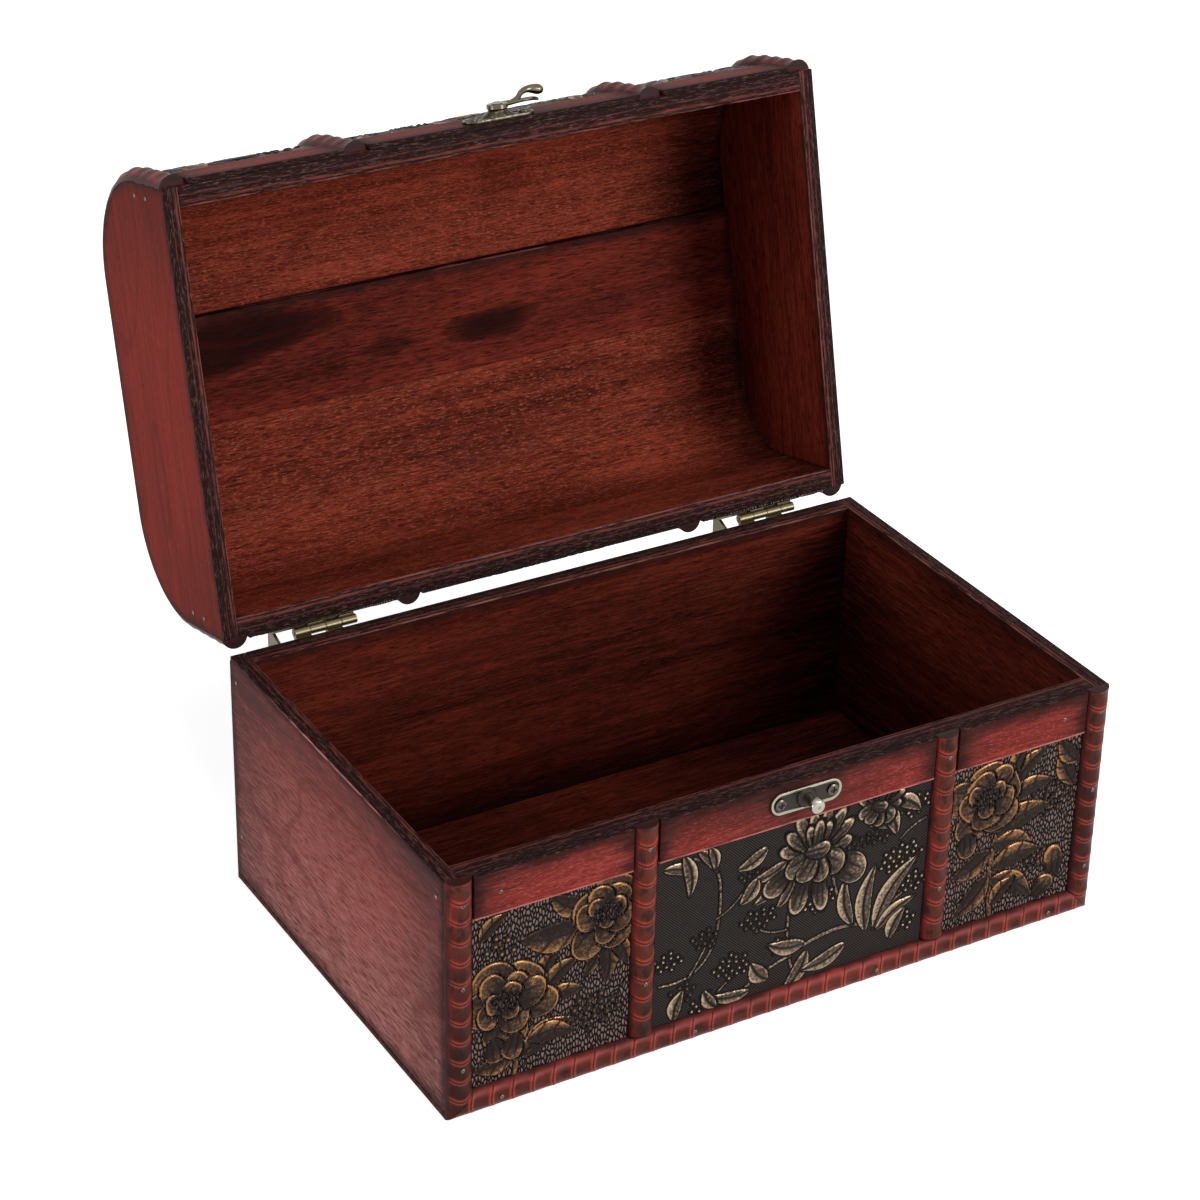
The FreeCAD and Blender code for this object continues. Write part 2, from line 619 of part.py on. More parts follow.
def opened_z(rise):
    return f"({PIN_Z} + {FLANGE_CLEAR} * sin{OPENING} + {rise} * cos{OPENING})"


def knuckles(name, start, first, web_low, web_height, bore):
    """Every second knuckle from the first, each with the web that curls up from its leaf."""
    tubes = []
    for number in range(first, int(SIZES["knuckle_count"]), 2):
        along = f"({start} + {number} * {PITCH} + dims.knuckle_gap / 2)"
        tubes.append(rod(f"{name}_tube_{number}", along, PIN_Y, PIN_Z, "x", "dims.barrel_radius", KNUCKLE))
        base = BACK if first == 0 else LID_LEAF_BASE
        depth = f"{PIN_Y} - {base}"
        tubes.append(block(f"{name}_web_{number}", along, base, web_low, KNUCKLE, depth, web_height))
    return tubes, rod(f"{name}_bore", start, PIN_Y, PIN_Z, "x", bore, "dims.barrel_length")


for side, middle in HINGES.items():
    start = f"({middle} - dims.barrel_length / 2)"
    leaf_left = f"({start} - dims.flange_reach_length)"
    leaf_span = "(dims.barrel_length + dims.flange_reach_length)"
    name = f"hinge_{side}_base"
    web = f"({LEAF_START} - dims.barrel_radius / 2)"
    tubes, bore = knuckles(name, start, 0, BASE_LEAF_TOP, web, "dims.pin_radius")
    leaf = block(f"{name}_plate", leaf_left, BACK, f"{BASE_LEAF_TOP} - dims.leaf_height", leaf_span,
                 "dims.leaf_thickness", "dims.leaf_height")
    corners = [(BACK, f"({BASE_LEAF_TOP} - dims.leaf_height)"), (BACK, BASE_LEAF_TOP),
               (opened_y("dims.flange_near_distance"), opened_z("dims.flange_near_distance")),
               (opened_y("dims.flange_far_distance"), opened_z("dims.flange_far_distance")),
               (opened_y("dims.flange_far_distance"), f"({BASE_LEAF_TOP} - dims.leaf_height / 3)")]
    flange = outline_pad(f"{name}_flange", "YZ_Plane", corners, "dims.flange_thickness")
    bind_base(flange, leaf_left, "0", "0")
    solid = fuse(f"{name}_solid", [leaf, flange] + tubes)
    node(f"hinge_{side}_base_leaf", cut(f"{name}_bored", solid, bore, base_screws))

    name = f"hinge_{side}_lid"
    running_bore = "(dims.pin_radius + dims.pin_clearance)"
    tubes, bore = knuckles(name, start, 1, f"{LID_LEAF_LOW} - {web}", web, running_bore)
    leaf = block(f"{name}_plate", leaf_left, LID_LEAF_BASE, LID_LEAF_LOW, leaf_span, "dims.leaf_thickness",
                 "dims.leaf_height")
    solid = fuse(f"{name}_solid", [leaf] + tubes)
    lid_node(f"hinge_{side}_lid_leaf", cut(f"{name}_bored", solid, bore, lid_screws))
    node(f"hinge_{side}_pin", rod(f"hinge_{side}_pin_rod", start, PIN_Y, PIN_Z, "x", "dims.pin_radius",
                                  "dims.barrel_length"))

node("hinge_base_screws", base_screws)
lid_node("hinge_lid_screws", lid_screws)


# Latch: oval plates on both strips, a peg below and a hook on a rivet above
def oval_plate(name, x, z):
    straight = "(dims.latch_plate_length - dims.latch_plate_width)"
    half = "dims.latch_plate_width / 2"
    middle = block(f"{name}_middle", f"{x} - {straight} / 2", PLATE_FACE, f"{z} - {half}", straight,
                   "dims.latch_plate_thickness", "dims.latch_plate_width")
    ends = [rod(f"{name}_end_{number}", f"{x} {way} {straight} / 2", STRIP_FACE, z, "-y", half,
                "dims.latch_plate_thickness") for number, way in enumerate(("-", "+"))]
    return [middle] + ends


def boss(name, x, z, height):
    base_radius = "min(dims.boss_base_radius; dims.latch_plate_width / 2)"
    return cone(f"{name}_boss", x, PLATE_FACE, z, "-y", base_radius, "dims.boss_top_radius", height)


STAPLE_TOP = f"({PLATE_FACE} - dims.staple_boss_height)"
staple_boss = boss("staple", PEG_X, PEG_Z, "dims.staple_boss_height")
staple = fuse("staple_solid", oval_plate("staple", PEG_X, PEG_Z) + [staple_boss])
node("latch_staple_plate", cut("staple_drilled", staple, staple_screws))
neck = rod("peg_neck", PEG_X, STAPLE_TOP, PEG_Z, "-y", "dims.peg_radius", "dims.peg_neck_length")
head = rod("peg_head", PEG_X, f"{STAPLE_TOP} - dims.peg_neck_length", PEG_Z, "-y", "dims.peg_head_radius",
           "dims.peg_head_length")
node("latch_peg", fuse("peg_solid", [neck, head]))
node("latch_staple_screws", staple_screws)

PIVOT = "dims.latch_pivot_offset"
BOSS_TOP = f"({PLATE_FACE} - dims.boss_height)"
plate_boss = boss("latch_plate", PIVOT, LATCH_Z, "dims.boss_height")
plate = fuse("latch_plate_solid", oval_plate("latch_plate", PIVOT, LATCH_Z) + [plate_boss])
lid_node("latch_plate", cut("latch_plate_drilled", plate, plate_screws))
lid_node("latch_plate_screws", plate_screws)
rivet_neck = rod("rivet_neck", PIVOT, BOSS_TOP, LATCH_Z, "-y", "dims.rivet_radius",
                 "dims.hub_thickness + 2 * dims.hub_gap")
rivet_head = cone("rivet_head", PIVOT, f"{BOSS_TOP} - dims.hub_thickness - 2 * dims.hub_gap", LATCH_Z, "-y",
                  "dims.rivet_head_radius", "dims.rivet_head_radius / 2", "dims.rivet_head_height")
lid_node("latch_rivet", fuse("rivet_solid", [rivet_neck, rivet_head]))

# Hook: hub on the rivet, arm to the right, claw open on the side that meets the peg first
HUB_FACE = f"({BOSS_TOP} - dims.hub_gap)"
ARM_BACK = f"({HUB_FACE} - (dims.hub_thickness - dims.arm_thickness) / 2)"
ARM_FRONT = f"({ARM_BACK} - dims.arm_thickness)"
CLAW_X = f"({PIVOT} + dims.hook_reach_length)"
NOTCH = "(dims.peg_radius + dims.peg_clearance)"
CLAW_RADIUS = f"({NOTCH} + dims.claw_thickness)"
hub = rod("hook_hub", PIVOT, HUB_FACE, LATCH_Z, "-y", "dims.hub_radius", "dims.hub_thickness")
arm = block("hook_arm", PIVOT, ARM_FRONT, f"{LATCH_Z} + {CLAW_RADIUS} - dims.arm_width",
            "dims.hook_reach_length", "dims.arm_thickness", "dims.arm_width")
claw = rod("hook_claw", CLAW_X, ARM_BACK, LATCH_Z, "-y", CLAW_RADIUS, "dims.arm_thickness")


def point(along, side, lift):
    """Point of the tail: along the arm from the pivot, up the lid, and out from the arm's middle."""
    out = f"({ARM_BACK} - dims.arm_thickness / 2)"
    return FreeCAD.Vector(value(PIVOT) + along, value(out) - lift, value(LATCH_Z) + side)


def taper(name, begin, end, radius, end_radius):
    """Round tapering stem between two points."""
    obj = doc.addObject("Part::Cone", name)
    bind(obj, {"Radius1": radius, "Radius2": end_radius})
    obj.Height = (end - begin).Length
    obj.Placement = FreeCAD.Placement(begin, FreeCAD.Rotation(FreeCAD.Vector(0, 0, 1), end - begin))
    return obj


def ball(name, centre, radius):
    obj = doc.addObject("Part::Sphere", name)
    obj.Placement = FreeCAD.Placement(centre, FreeCAD.Rotation())
    return bind(obj, {"Radius": radius})


STEM = "dims.tail_radius"
BULB = "dims.bulb_radius"
side, lift = value("dims.tail_side_offset"), value("dims.tail_lift_height")
root = point(value("dims.tail_root_offset"), value(f"{CLAW_RADIUS} - {STEM}"), 0)
bend = point(value("dims.tail_bend_offset"), side, lift)
tip = point(value("dims.tail_length"), side, lift)
tail = [taper("tail_rise", root, bend, STEM, STEM), ball("tail_knee", bend, STEM),
        taper("tail_run", bend, tip, STEM, BULB), ball("tail_bulb", tip, BULB)]
hook = fuse("hook_solid", [hub, arm, claw] + tail)
eye = rod("hook_eye", PIVOT, f"{HUB_FACE} + dims.hub_gap", LATCH_Z, "-y",
          "(dims.rivet_radius + dims.pin_clearance)", "2 * dims.hub_thickness")
notch = rod("hook_notch", CLAW_X, f"{ARM_BACK} + dims.hub_gap", LATCH_Z, "-y", NOTCH,
            "2 * dims.arm_thickness")
mouth = block("hook_mouth", f"{CLAW_X} - {CLAW_RADIUS}", f"{ARM_BACK} - 2 * dims.arm_thickness",
              f"{LATCH_Z} - 2 * {CLAW_RADIUS}", f"{CLAW_RADIUS} + {NOTCH}", "3 * dims.arm_thickness",
              f"2 * {CLAW_RADIUS}")
lid_node("latch_hook", cut("hook_cut", hook, eye, notch, mouth))

# Open the lid about the pins, check every object and write the pieces
pin = FreeCAD.Vector(0, value(PIN_Y), value(PIN_Z))
swing = FreeCAD.Rotation(FreeCAD.Vector(1, 0, 0), -value("dims.lid_opening_angle"))
for obj in LID_NODES:
    obj.Placement = FreeCAD.Placement(FreeCAD.Vector(), swing, pin)
doc.recompute()

for obj in doc.Objects:
    if "Invalid" in obj.State or "Error" in obj.State:
        raise RuntimeError(f"{obj.Name} failed: {obj.State}")
for obj in NODES:
    if obj.Shape.isNull() or not obj.Shape.isValid() or not obj.Shape.Solids:
        raise RuntimeError(f"{obj.Label} has no valid solid")

os.makedirs("parts", exist_ok=True)
for obj in NODES:
    solids = obj.Shape.Solids
    shape = solids[0] if len(solids) == 1 else obj.Shape
    shape.exportStep(f"parts/{obj.Label}.step")
    print(obj.Label, len(solids), round(obj.Shape.Volume, 1))
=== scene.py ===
# %% [markdown]
# # A small treasure chest
# The chest is a stained plywood box with a barrel lid that stands open. The CAD model gives every piece its
# place; this lesson dresses it. The frame comes first, because each later step asks it where things are.

# %% Load the frame
import json
import math
import random
from collections import namedtuple

import bmesh
import bpy
import numpy as np
from mathutils import Matrix, Vector


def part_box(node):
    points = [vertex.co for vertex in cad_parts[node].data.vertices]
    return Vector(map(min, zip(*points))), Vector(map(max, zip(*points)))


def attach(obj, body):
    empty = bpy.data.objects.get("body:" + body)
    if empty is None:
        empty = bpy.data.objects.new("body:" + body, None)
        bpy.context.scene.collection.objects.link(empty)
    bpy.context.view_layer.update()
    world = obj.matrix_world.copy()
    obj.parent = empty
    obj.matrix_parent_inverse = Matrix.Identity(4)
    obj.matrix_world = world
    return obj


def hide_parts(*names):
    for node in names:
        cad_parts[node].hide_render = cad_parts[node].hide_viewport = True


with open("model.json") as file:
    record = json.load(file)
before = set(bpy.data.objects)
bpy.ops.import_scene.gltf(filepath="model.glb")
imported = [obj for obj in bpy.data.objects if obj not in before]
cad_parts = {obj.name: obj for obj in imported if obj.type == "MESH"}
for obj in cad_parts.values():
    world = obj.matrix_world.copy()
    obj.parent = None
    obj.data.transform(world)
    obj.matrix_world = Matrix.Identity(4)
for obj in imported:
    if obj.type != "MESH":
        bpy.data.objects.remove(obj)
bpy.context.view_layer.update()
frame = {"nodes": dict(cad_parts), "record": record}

# %% [markdown]
# ## Tools
# bmesh shapes the meshes, numpy draws the embossing, and mathutils moves and turns things.

# %% [markdown]
# ## Sizes
# A maker thinks in millimetres, so the pieces are modelled in millimetres and shrunk to metres at the end.
# The lid is modelled closed, where its boards are level, and then turned open about the hinge pins.

# %% Sizes in millimetres
MM = 0.001
LEFT, RIGHT, FRONT, BACK = -115.0, 115.0, -70.7, 70.7
BASE_TOP, RIM = 82.0, 82.6
WALL, END = 6.5, 5.0
STRIP, STRIP_HEIGHT = 1.8, 14.8
ROUND_WIDTH, ROUND_RISE = 8.6, 3.6
ROUND_CENTRES = {"left_end": -110.7, "left_middle": -50.4, "right_middle": 54.2, "right_end": 110.7}
FIELDS = {"left": (-106.4, -54.7), "centre": (-46.1, 49.9), "right": (58.5, 106.4)}
PIN = Vector((0.0, 73.5, 82.3))
OPENING = math.radians(103.5)
LID_OPEN = Matrix.Translation(PIN) @ Matrix.Rotation(-OPENING, 4, "X") @ Matrix.Translation(-PIN)

record = frame["record"]
body_of = {node: body for body, nodes in record["behaviour"]["bodies"].items() for node in nodes}

# %% [markdown]
# ## Camera
# The photograph was taken from the left front, a little above the lid. A long lens keeps the box's edges
# nearly parallel. The camera looks from its place to a target, and a small roll levels it as in the photograph.

# %% Camera
CAMERA_PLACE = Vector((-0.4625, -0.7354, 0.5870))
CAMERA_TARGET = Vector((-0.02492, 0.0, 0.11281))
CAMERA_ROLL = math.radians(1.322)
SENSOR, LENS = 36.0, 98.03
camera_data = bpy.data.cameras.new("camera")
camera_data.sensor_width = SENSOR
camera_data.lens = LENS
camera = bpy.data.objects.new("camera", camera_data)
look = (CAMERA_TARGET - CAMERA_PLACE).to_track_quat("-Z", "Y").to_matrix().to_4x4()
camera.matrix_world = Matrix.Translation(CAMERA_PLACE) @ look @ Matrix.Rotation(CAMERA_ROLL, 4, "Z")
bpy.context.scene.collection.objects.link(camera)
bpy.context.scene.camera = camera
print("camera looks from", tuple(CAMERA_PLACE))

# %% [markdown]
# ## Nodes for the finishes
# A finish is a tree of nodes, and wiring one by hand takes many lines. This class keeps the tree and gives its
# nodes short names: times, plus and less are Math nodes, fade is a soft step, blend mixes two colours, coats lays
# several colours over a base, and ramp turns a value into a colour.

# %% Wiring of a node tree
def srgb(red, green, blue):
    """Colour as a paint chart gives it, from 0 to 255, made linear."""
    parts = [part / 255 for part in (red, green, blue)]
    return (*[p / 12.92 if p <= 0.04045 else ((p + 0.055) / 1.055) ** 2.4 for p in parts], 1.0)


class Wiring:
    """A node tree, with short names for the nodes that the finishes are made of."""

    def __init__(self, tree):
        self.tree = tree

    def plug(self, socket, value):
        """Links a socket to another one, or sets it to a plain value."""
        if isinstance(value, bpy.types.NodeSocket):
            self.tree.links.new(value, socket)
        else:
            socket.default_value = value

    def node(self, kind, sockets=None, **settings):
        """Adds a node with its settings, plugs its sockets and gives its outputs."""
        made = self.tree.nodes.new(f"ShaderNode{kind}")
        for setting, value in settings.items():
            setattr(made, setting, value)
        for socket, value in (sockets or {}).items():
            self.plug(made.inputs[socket], value)
        return made.outputs

    def calc(self, way, first, second=0.0):
        return self.node("Math", {0: first, 1: second}, operation=way)[0]

    def times(self, first, second):
        return self.calc("MULTIPLY", first, second)

    def plus(self, first, second):
        return self.calc("ADD", first, second)

    def less(self, first, second):
        return self.calc("SUBTRACT", first, second)

    def fade(self, value, start, end):
        sockets = {"Value": value, "From Min": start, "From Max": end}
        return self.node("MapRange", sockets, interpolation_type="SMOOTHSTEP")[0]

    def blend(self, factor, first, second):
        return self.node("Mix", {0: factor, 6: first, 7: second}, data_type="RGBA")[2]

    def coats(self, base, *coats):
        for mask, colour in coats:
            base = self.blend(mask, base, colour)
        return base

    def ramp(self, factor, *stops):
        made = self.tree.nodes.new("ShaderNodeValToRGB")
        points = made.color_ramp.elements
        while len(points) < len(stops):
            points.new(0.5)
        for point, (place, colour) in zip(points, stops):
            point.position = place
            point.color = colour
        self.plug(made.inputs[0], factor)
        return made.outputs[0]

    def stretched(self, vector, scale):
        return self.node("VectorMath", {0: vector, 1: scale}, operation="MULTIPLY")[0]

    def noise(self, vector, scale, detail=2.0, rough=0.5):
        sockets = {"Vector": self.stretched(vector, scale), "Scale": 1.0, "Detail": detail, "Roughness": rough}
        return self.node("TexNoise", sockets)[0]

    def stored(self, name, output="Fac"):
        return self.node("Attribute", attribute_name=name)[output]

    def group(self, shared, **sockets):
        return self.node("Group", sockets, node_tree=shared.tree)


print("middle grey of a paint chart, made linear:", round(srgb(128, 128, 128)[0], 3))

# %% [markdown]
# ## Groups and materials
# An effect that several finishes share is a node group with named inputs and outputs. A material is a tree too,
# with a shader at its end: what is the same all over is set on the shader, and only what varies is linked to it.

# %% Groups and materials
FLOAT, VECTOR = "NodeSocketFloat", "NodeSocketVector"


class Shared(Wiring):
    """A node group: given holds its inputs, and put fills an output."""

    def __init__(self, name, inputs, outputs):
        super().__init__(bpy.data.node_groups.new(name, "ShaderNodeTree"))
        for label, kind in inputs.items():
            self.tree.interface.new_socket(label, in_out="INPUT", socket_type=kind)
        for label in outputs:
            self.tree.interface.new_socket(label, in_out="OUTPUT", socket_type=FLOAT)
        self.given = self.tree.nodes.new("NodeGroupInput").outputs
        self.results = self.tree.nodes.new("NodeGroupOutput").inputs
        print(f"group {name} gives", ", ".join(outputs))

    def put(self, label, value):
        self.plug(self.results[label], value)


class Finish(Wiring):
    """A material: put fills a socket of its shader, and bump gives it a fine relief."""

    def __init__(self, name, gloss=0.3, roughness=0.5, metallic=0.0):
        self.material = bpy.data.materials.new(name)
        self.material.use_nodes = True
        super().__init__(self.material.node_tree)
        self.shader = self.tree.nodes["Principled BSDF"].inputs
        self.shader["Specular IOR Level"].default_value = gloss
        self.shader["Roughness"].default_value = roughness
        self.shader["Metallic"].default_value = metallic

    def put(self, label, value):
        self.plug(self.shader[label], value)

    def bump(self, height, distance, strength=1.0):
        sockets = {"Height": height, "Distance": distance, "Strength": strength}
        self.put("Normal", self.node("Bump", sockets)[0])


print("sockets of a group are", FLOAT, "or", VECTOR)

# %% [markdown]
# ## Floor and light
# The photograph has a plain white ground. The floor is white paper that the camera also sees glow a little,
# straight or in a reflection, so that it reads as white while the chest still throws a soft shadow. The rays of
# light that reach the chest do not see the glow, so its colours stay true.

# %% Floor
FLOOR_SIZE, FLOOR_GLOW = 8.0, 0.75
WHITE, PAPER = (1.0, 1.0, 1.0, 1.0), (0.86, 0.86, 0.86, 1.0)


def background_seen(wiring):
    """One where the camera sees the background, straight on, in a gloss or through glass."""
    rays = wiring.node("LightPath")
    seen = wiring.calc("MAXIMUM", rays["Is Camera Ray"], rays["Is Glossy Ray"])
    return wiring.calc("MAXIMUM", seen, rays["Is Transmission Ray"])


def plain_object(bm, name):
    """Turns a bmesh into an object of the scene."""
    mesh = bpy.data.meshes.new(name)
    bm.to_mesh(mesh)
    bm.free()
    made = bpy.data.objects.new(name, mesh)
    bpy.context.scene.collection.objects.link(made)
    return made


paper = Finish("white_paper", roughness=0.9)
paper.put("Base Color", PAPER)
paper.put("Emission Color", WHITE)
paper.put("Emission Strength", paper.times(background_seen(paper), FLOOR_GLOW))
bm = bmesh.new()
bmesh.ops.create_grid(bm, x_segments=1, y_segments=1, size=FLOOR_SIZE)
floor = plain_object(bm, "floor")
floor.data.materials.append(paper.material)
print("floor:", 2 * FLOOR_SIZE, "m wide")

# %% [markdown]
# ## Lamps and sky
# One soft lamp stands low at the left and lights the ends, one at the front right lights the fields and the inside
# of the lid, and a weak one overhead reaches the rims and the floor of the chest. The sky fills in; like the paper,
# it is white only where the camera sees it.

# %% Lamps and sky
SKY = 0.24
LAMP_TARGET = Vector((0.0, 0.0, 0.1))
LAMPS = {"left_lamp": ((-1.7, 0.1, 0.2), 0.6, 16.5), "front_lamp": ((1.0, -1.7, 0.8), 0.8, 29.0),
         "top_lamp": ((-0.1, -0.5, 1.8), 1.0, 8.0)}

world = bpy.data.worlds.new("studio")
world.use_nodes = True
studio = Wiring(world.node_tree)
sky = studio.tree.nodes["Background"].inputs
sky["Color"].default_value = WHITE
glow = studio.times(background_seen(studio), 1.0 - SKY)
studio.plug(sky["Strength"], studio.plus(SKY, glow))
bpy.context.scene.world = world

for name, (place, size, power) in LAMPS.items():
    light = bpy.data.lights.new(name, "AREA")
    light.size = size
    light.energy = power
    lamp = bpy.data.objects.new(name, light)
    lamp.location = place
    lamp.rotation_euler = (LAMP_TARGET - Vector(place)).to_track_quat("-Z", "Y").to_euler()
    bpy.context.scene.collection.objects.link(lamp)
bpy.context.scene.view_settings.view_transform = "Standard"
print("lamps:", list(LAMPS))

# %% [markdown]
# ## Wood fibre
# Plywood shows long streaks, short fibres, tiny flecks and broad clouds of stain. They are all noise, drawn
# out along the grain. Every wooden piece stores its own grain coordinates, so one group serves them all,
# whichever way a board lies. The figure is a sine of a bent distance, which gives thin growth lines.

# %% Wood fibre group
fibre = Shared("wood_fibre", {"Grain": VECTOR}, ("Cloud", "Streak", "Fibre", "Fleck", "Pore", "Figure"))
grain = fibre.given["Grain"]
fibre.put("Cloud", fibre.noise(grain, (0.012, 0.035, 0.035), 3.0))
fibre.put("Streak", fibre.noise(grain, (0.010, 0.30, 0.30), 4.0, 0.6))
fibre.put("Fibre", fibre.noise(grain, (0.15, 1.9, 1.9), 3.0, 0.6))
fibre.put("Fleck", fibre.fade(fibre.noise(grain, (0.6, 2.4, 2.4), 2.0, 0.6), 0.54, 0.66))
fibre.put("Pore", fibre.fade(fibre.noise(grain, (0.24, 2.1, 2.1), 2.0, 0.6), 0.54, 0.68))
across = fibre.node("SeparateXYZ", {0: grain})[1]
swirl = fibre.noise(grain, (0.007, 0.022, 0.022), 1.0)
growth = fibre.plus(fibre.times(across, 0.2), fibre.times(swirl, 32.0))
fibre.put("Figure", fibre.fade(fibre.calc("SINE", growth), 0.93, 1.0))

# %% [markdown]
# ## Dark edges
# The stain was sprayed darker along the arrises, and where a piece meets another in a corner or seam the mask
# paints the shade that falls there. Each piece stores how far a point is from its nearest arris; the group breaks
# that distance up with noise and gives a mask. It also gives the patches where the very edge has been worn bare.

# %% Dark edges
edge_stain_and_shade = Shared("dark_edges", {"Edge": FLOAT, "Reach": FLOAT, "Grain": VECTOR}, ("Mask", "Worn"))
edge, reach, grain = (edge_stain_and_shade.given[label] for label in ("Edge", "Reach", "Grain"))
ragged = edge_stain_and_shade.less(edge_stain_and_shade.noise(grain, (0.12, 0.25, 0.25), 3.0), 0.5)
distance = edge_stain_and_shade.plus(edge, edge_stain_and_shade.times(ragged, edge_stain_and_shade.times(reach, 1.3)))
edge_stain_and_shade.put("Mask", edge_stain_and_shade.fade(distance, reach, 0.0))
patches = edge_stain_and_shade.fade(edge_stain_and_shade.noise(grain, (0.05, 0.4, 0.4), 3.0), 0.5, 0.62)
edge_stain_and_shade.put("Worn", edge_stain_and_shade.times(edge_stain_and_shade.fade(edge, 0.35, 0.0), patches))

# %% [markdown]
# ## Layers of plywood
# A cut edge shows the layers of the plywood as pale lines in a near-black stain. Each board stores the share of its
# thickness, from nothing outside to one inside. Two soft lines at fixed shares are the veneers; noise lets them
# wander and scuffs them, and a third line runs along the inner arris.

# %% Layers of plywood
INNER_VENEER, OUTER_VENEER = (0.42, 0.07), (0.76, 0.12)
layers = Shared("ply_layers", {"Ply": FLOAT, "Grain": VECTOR}, ("Layer", "Arris", "Grit"))
share, grain = layers.given["Ply"], layers.given["Grain"]
wander = layers.times(layers.less(layers.noise(grain, (0.06, 0.3, 0.3), 3.0), 0.5), 0.9)
depth = layers.plus(share, layers.times(wander, 0.12))
faint, strong = (layers.fade(layers.calc("ABSOLUTE", layers.less(depth, place)), width, 0.0)
                 for place, width in (INNER_VENEER, OUTER_VENEER))
veneers = layers.calc("MAXIMUM", layers.times(faint, 0.5), strong)
scuffs = layers.noise(grain, (0.10, 1.2, 1.2), 4.0, 0.65)
layers.put("Layer", layers.times(veneers, layers.fade(scuffs, 0.35, 0.6)))
layers.put("Arris", layers.times(layers.fade(share, 0.9, 0.97), layers.fade(scuffs, 0.4, 0.6)))
layers.put("Grit", layers.fade(layers.noise(grain, (0.35, 2.6, 2.6), 3.0, 0.7), 0.5, 0.72))

# %% [markdown]
# ## Masks of the stain
# A board stores how much it is darkened, where a pale bloom lies and where its knots are; most of the darkening is
# painted shade, in corners and on faces that little light reaches. The group turns these into masks: the darkening
# gathers where the wood is dark, the bloom of dust and painted sheen lies between the fibres and fills the pores, and
# a knot swells unevenly, with a ring of growth round it. Each stain then fills the masks with its own colours.

# %% Stain masks
FIBRES, KEPT = ("Cloud", "Streak", "Fibre", "Pore"), ("Shade", "Bloom", "Knot")
stain = Shared("stain_masks", {"Grain": VECTOR, **dict.fromkeys(FIBRES + KEPT, FLOAT)},
               ("Mottle", "Smoke", "Dust and Sheen", "Pores", "Dark Knot", "Growth"))
cloud, streak, fibres, pore, shade, sheen_and_dust, knotted = (stain.given[label] for label in FIBRES + KEPT)
mottle = stain.plus(stain.times(streak, 0.26), stain.plus(stain.times(cloud, 0.3), stain.times(fibres, 0.44)))
stain.put("Mottle", mottle)
stain.put("Smoke", stain.times(shade, stain.fade(mottle, 0.75, 0.4)))
stain.put("Dust and Sheen", stain.times(sheen_and_dust, stain.fade(fibres, 0.3, 0.65)))
stain.put("Pores", stain.times(pore, stain.plus(0.15, stain.times(sheen_and_dust, 0.6))))
swell = stain.times(stain.less(stain.noise(stain.given["Grain"], (0.05, 0.12, 0.12), 3.0), 0.5), 0.7)
dark_knot = stain.plus(knotted, swell)
stain.put("Dark Knot", stain.times(stain.fade(dark_knot, 0.1, 0.75), 0.9))
ring = stain.fade(stain.calc("ABSOLUTE", stain.less(dark_knot, 0.3)), 0.12, 0.0)
ring = stain.times(ring, stain.times(stain.fade(fibres, 0.3, 0.7), 0.5))
stain.put("Growth", stain.times(ring, stain.fade(knotted, 0.1, 0.3)))

# %% [markdown]
# ## Stained boards
# The boards are red outside and browner inside, with near-black cut edges. One material can do all three, because
# each board stores the share of its thickness and the distance from its rim. The colours of each side are laid
# over each other as coats, each through its mask, and the two sides meet in the middle of the board.

# %% Stained boards
Stain = namedtuple("Stain", "dark middle bright fleck smoke")
Rim = namedtuple("Rim", "black veneer arris bare grit")
RIM_STAIN = Rim(srgb(36, 22, 21), srgb(122, 60, 52), srgb(134, 84, 76), srgb(196, 118, 110), srgb(98, 74, 70))


def stained_wood(name, outside, inside, reach=4.0, flecks=(0.1, 0.2), worn=0.5):
    """Stain for boards; flecks has a share for the outside and one for the inside."""
    board = Finish(name, gloss=0.015)
    grain, ply = board.stored("grain", "Vector"), board.stored("ply")
    wood = board.group(fibre, Grain=grain)
    kept = {label: board.stored(label.lower()) for label in KEPT}
    mask = board.group(stain, Grain=grain, **kept, **{label: wood[label] for label in FIBRES})
    edges = board.group(edge_stain_and_shade, Edge=board.stored("edge"), Reach=reach, Grain=grain)
    cut = board.group(layers, Ply=ply, Grain=grain)
    # Over the outside, the bloom is dust and a painted sheen, and the darkening is mostly painted shade.
    outer = board.coats(
        board.ramp(mask["Mottle"], (0.36, outside.dark), (0.5, outside.middle), (0.64, outside.bright)),
        (mask["Dust and Sheen"], outside.fleck), (board.times(wood["Fleck"], flecks[0]), outside.fleck),
        (mask["Pores"], outside.dark), (mask["Smoke"], outside.smoke))
    inner = board.coats(
        board.ramp(mask["Mottle"], (0.37, inside.dark), (0.5, inside.middle), (0.62, inside.bright)),
        (board.times(wood["Fleck"], flecks[1]), inside.fleck), (board.times(wood["Pore"], 0.85), inside.dark),
        (mask["Smoke"], inside.smoke), (mask["Dark Knot"], inside.smoke), (mask["Growth"], inside.bright))
    cut_edge = board.coats(RIM_STAIN.black, (cut["Grit"], RIM_STAIN.grit), (cut["Layer"], RIM_STAIN.veneer),
                           (cut["Arris"], RIM_STAIN.arris))
    bare_arris = board.times(board.fade(board.stored("pale"), 0.5, 1.0), board.fade(wood["Fibre"], 0.3, 0.55))
    board.put("Base Color", board.coats(
        outer, (board.fade(ply, 0.4, 0.6), inner), (board.times(wood["Figure"], 0.3), outside.dark),
        (board.times(edges["Mask"], 0.75), RIM_STAIN.black), (board.times(edges["Worn"], worn), RIM_STAIN.bare),
        (board.fade(board.stored("rim"), 0.6, 0.2), cut_edge), (bare_arris, RIM_STAIN.bare)))
    board.put("Roughness", board.plus(0.36, board.times(wood["Fibre"], 0.25)))
    board.bump(board.less(wood["Fibre"], board.times(wood["Pore"], 0.6)), 0.00012, 0.6)
    return board.material


print("a stain has a colour for", ", ".join(Stain._fields))
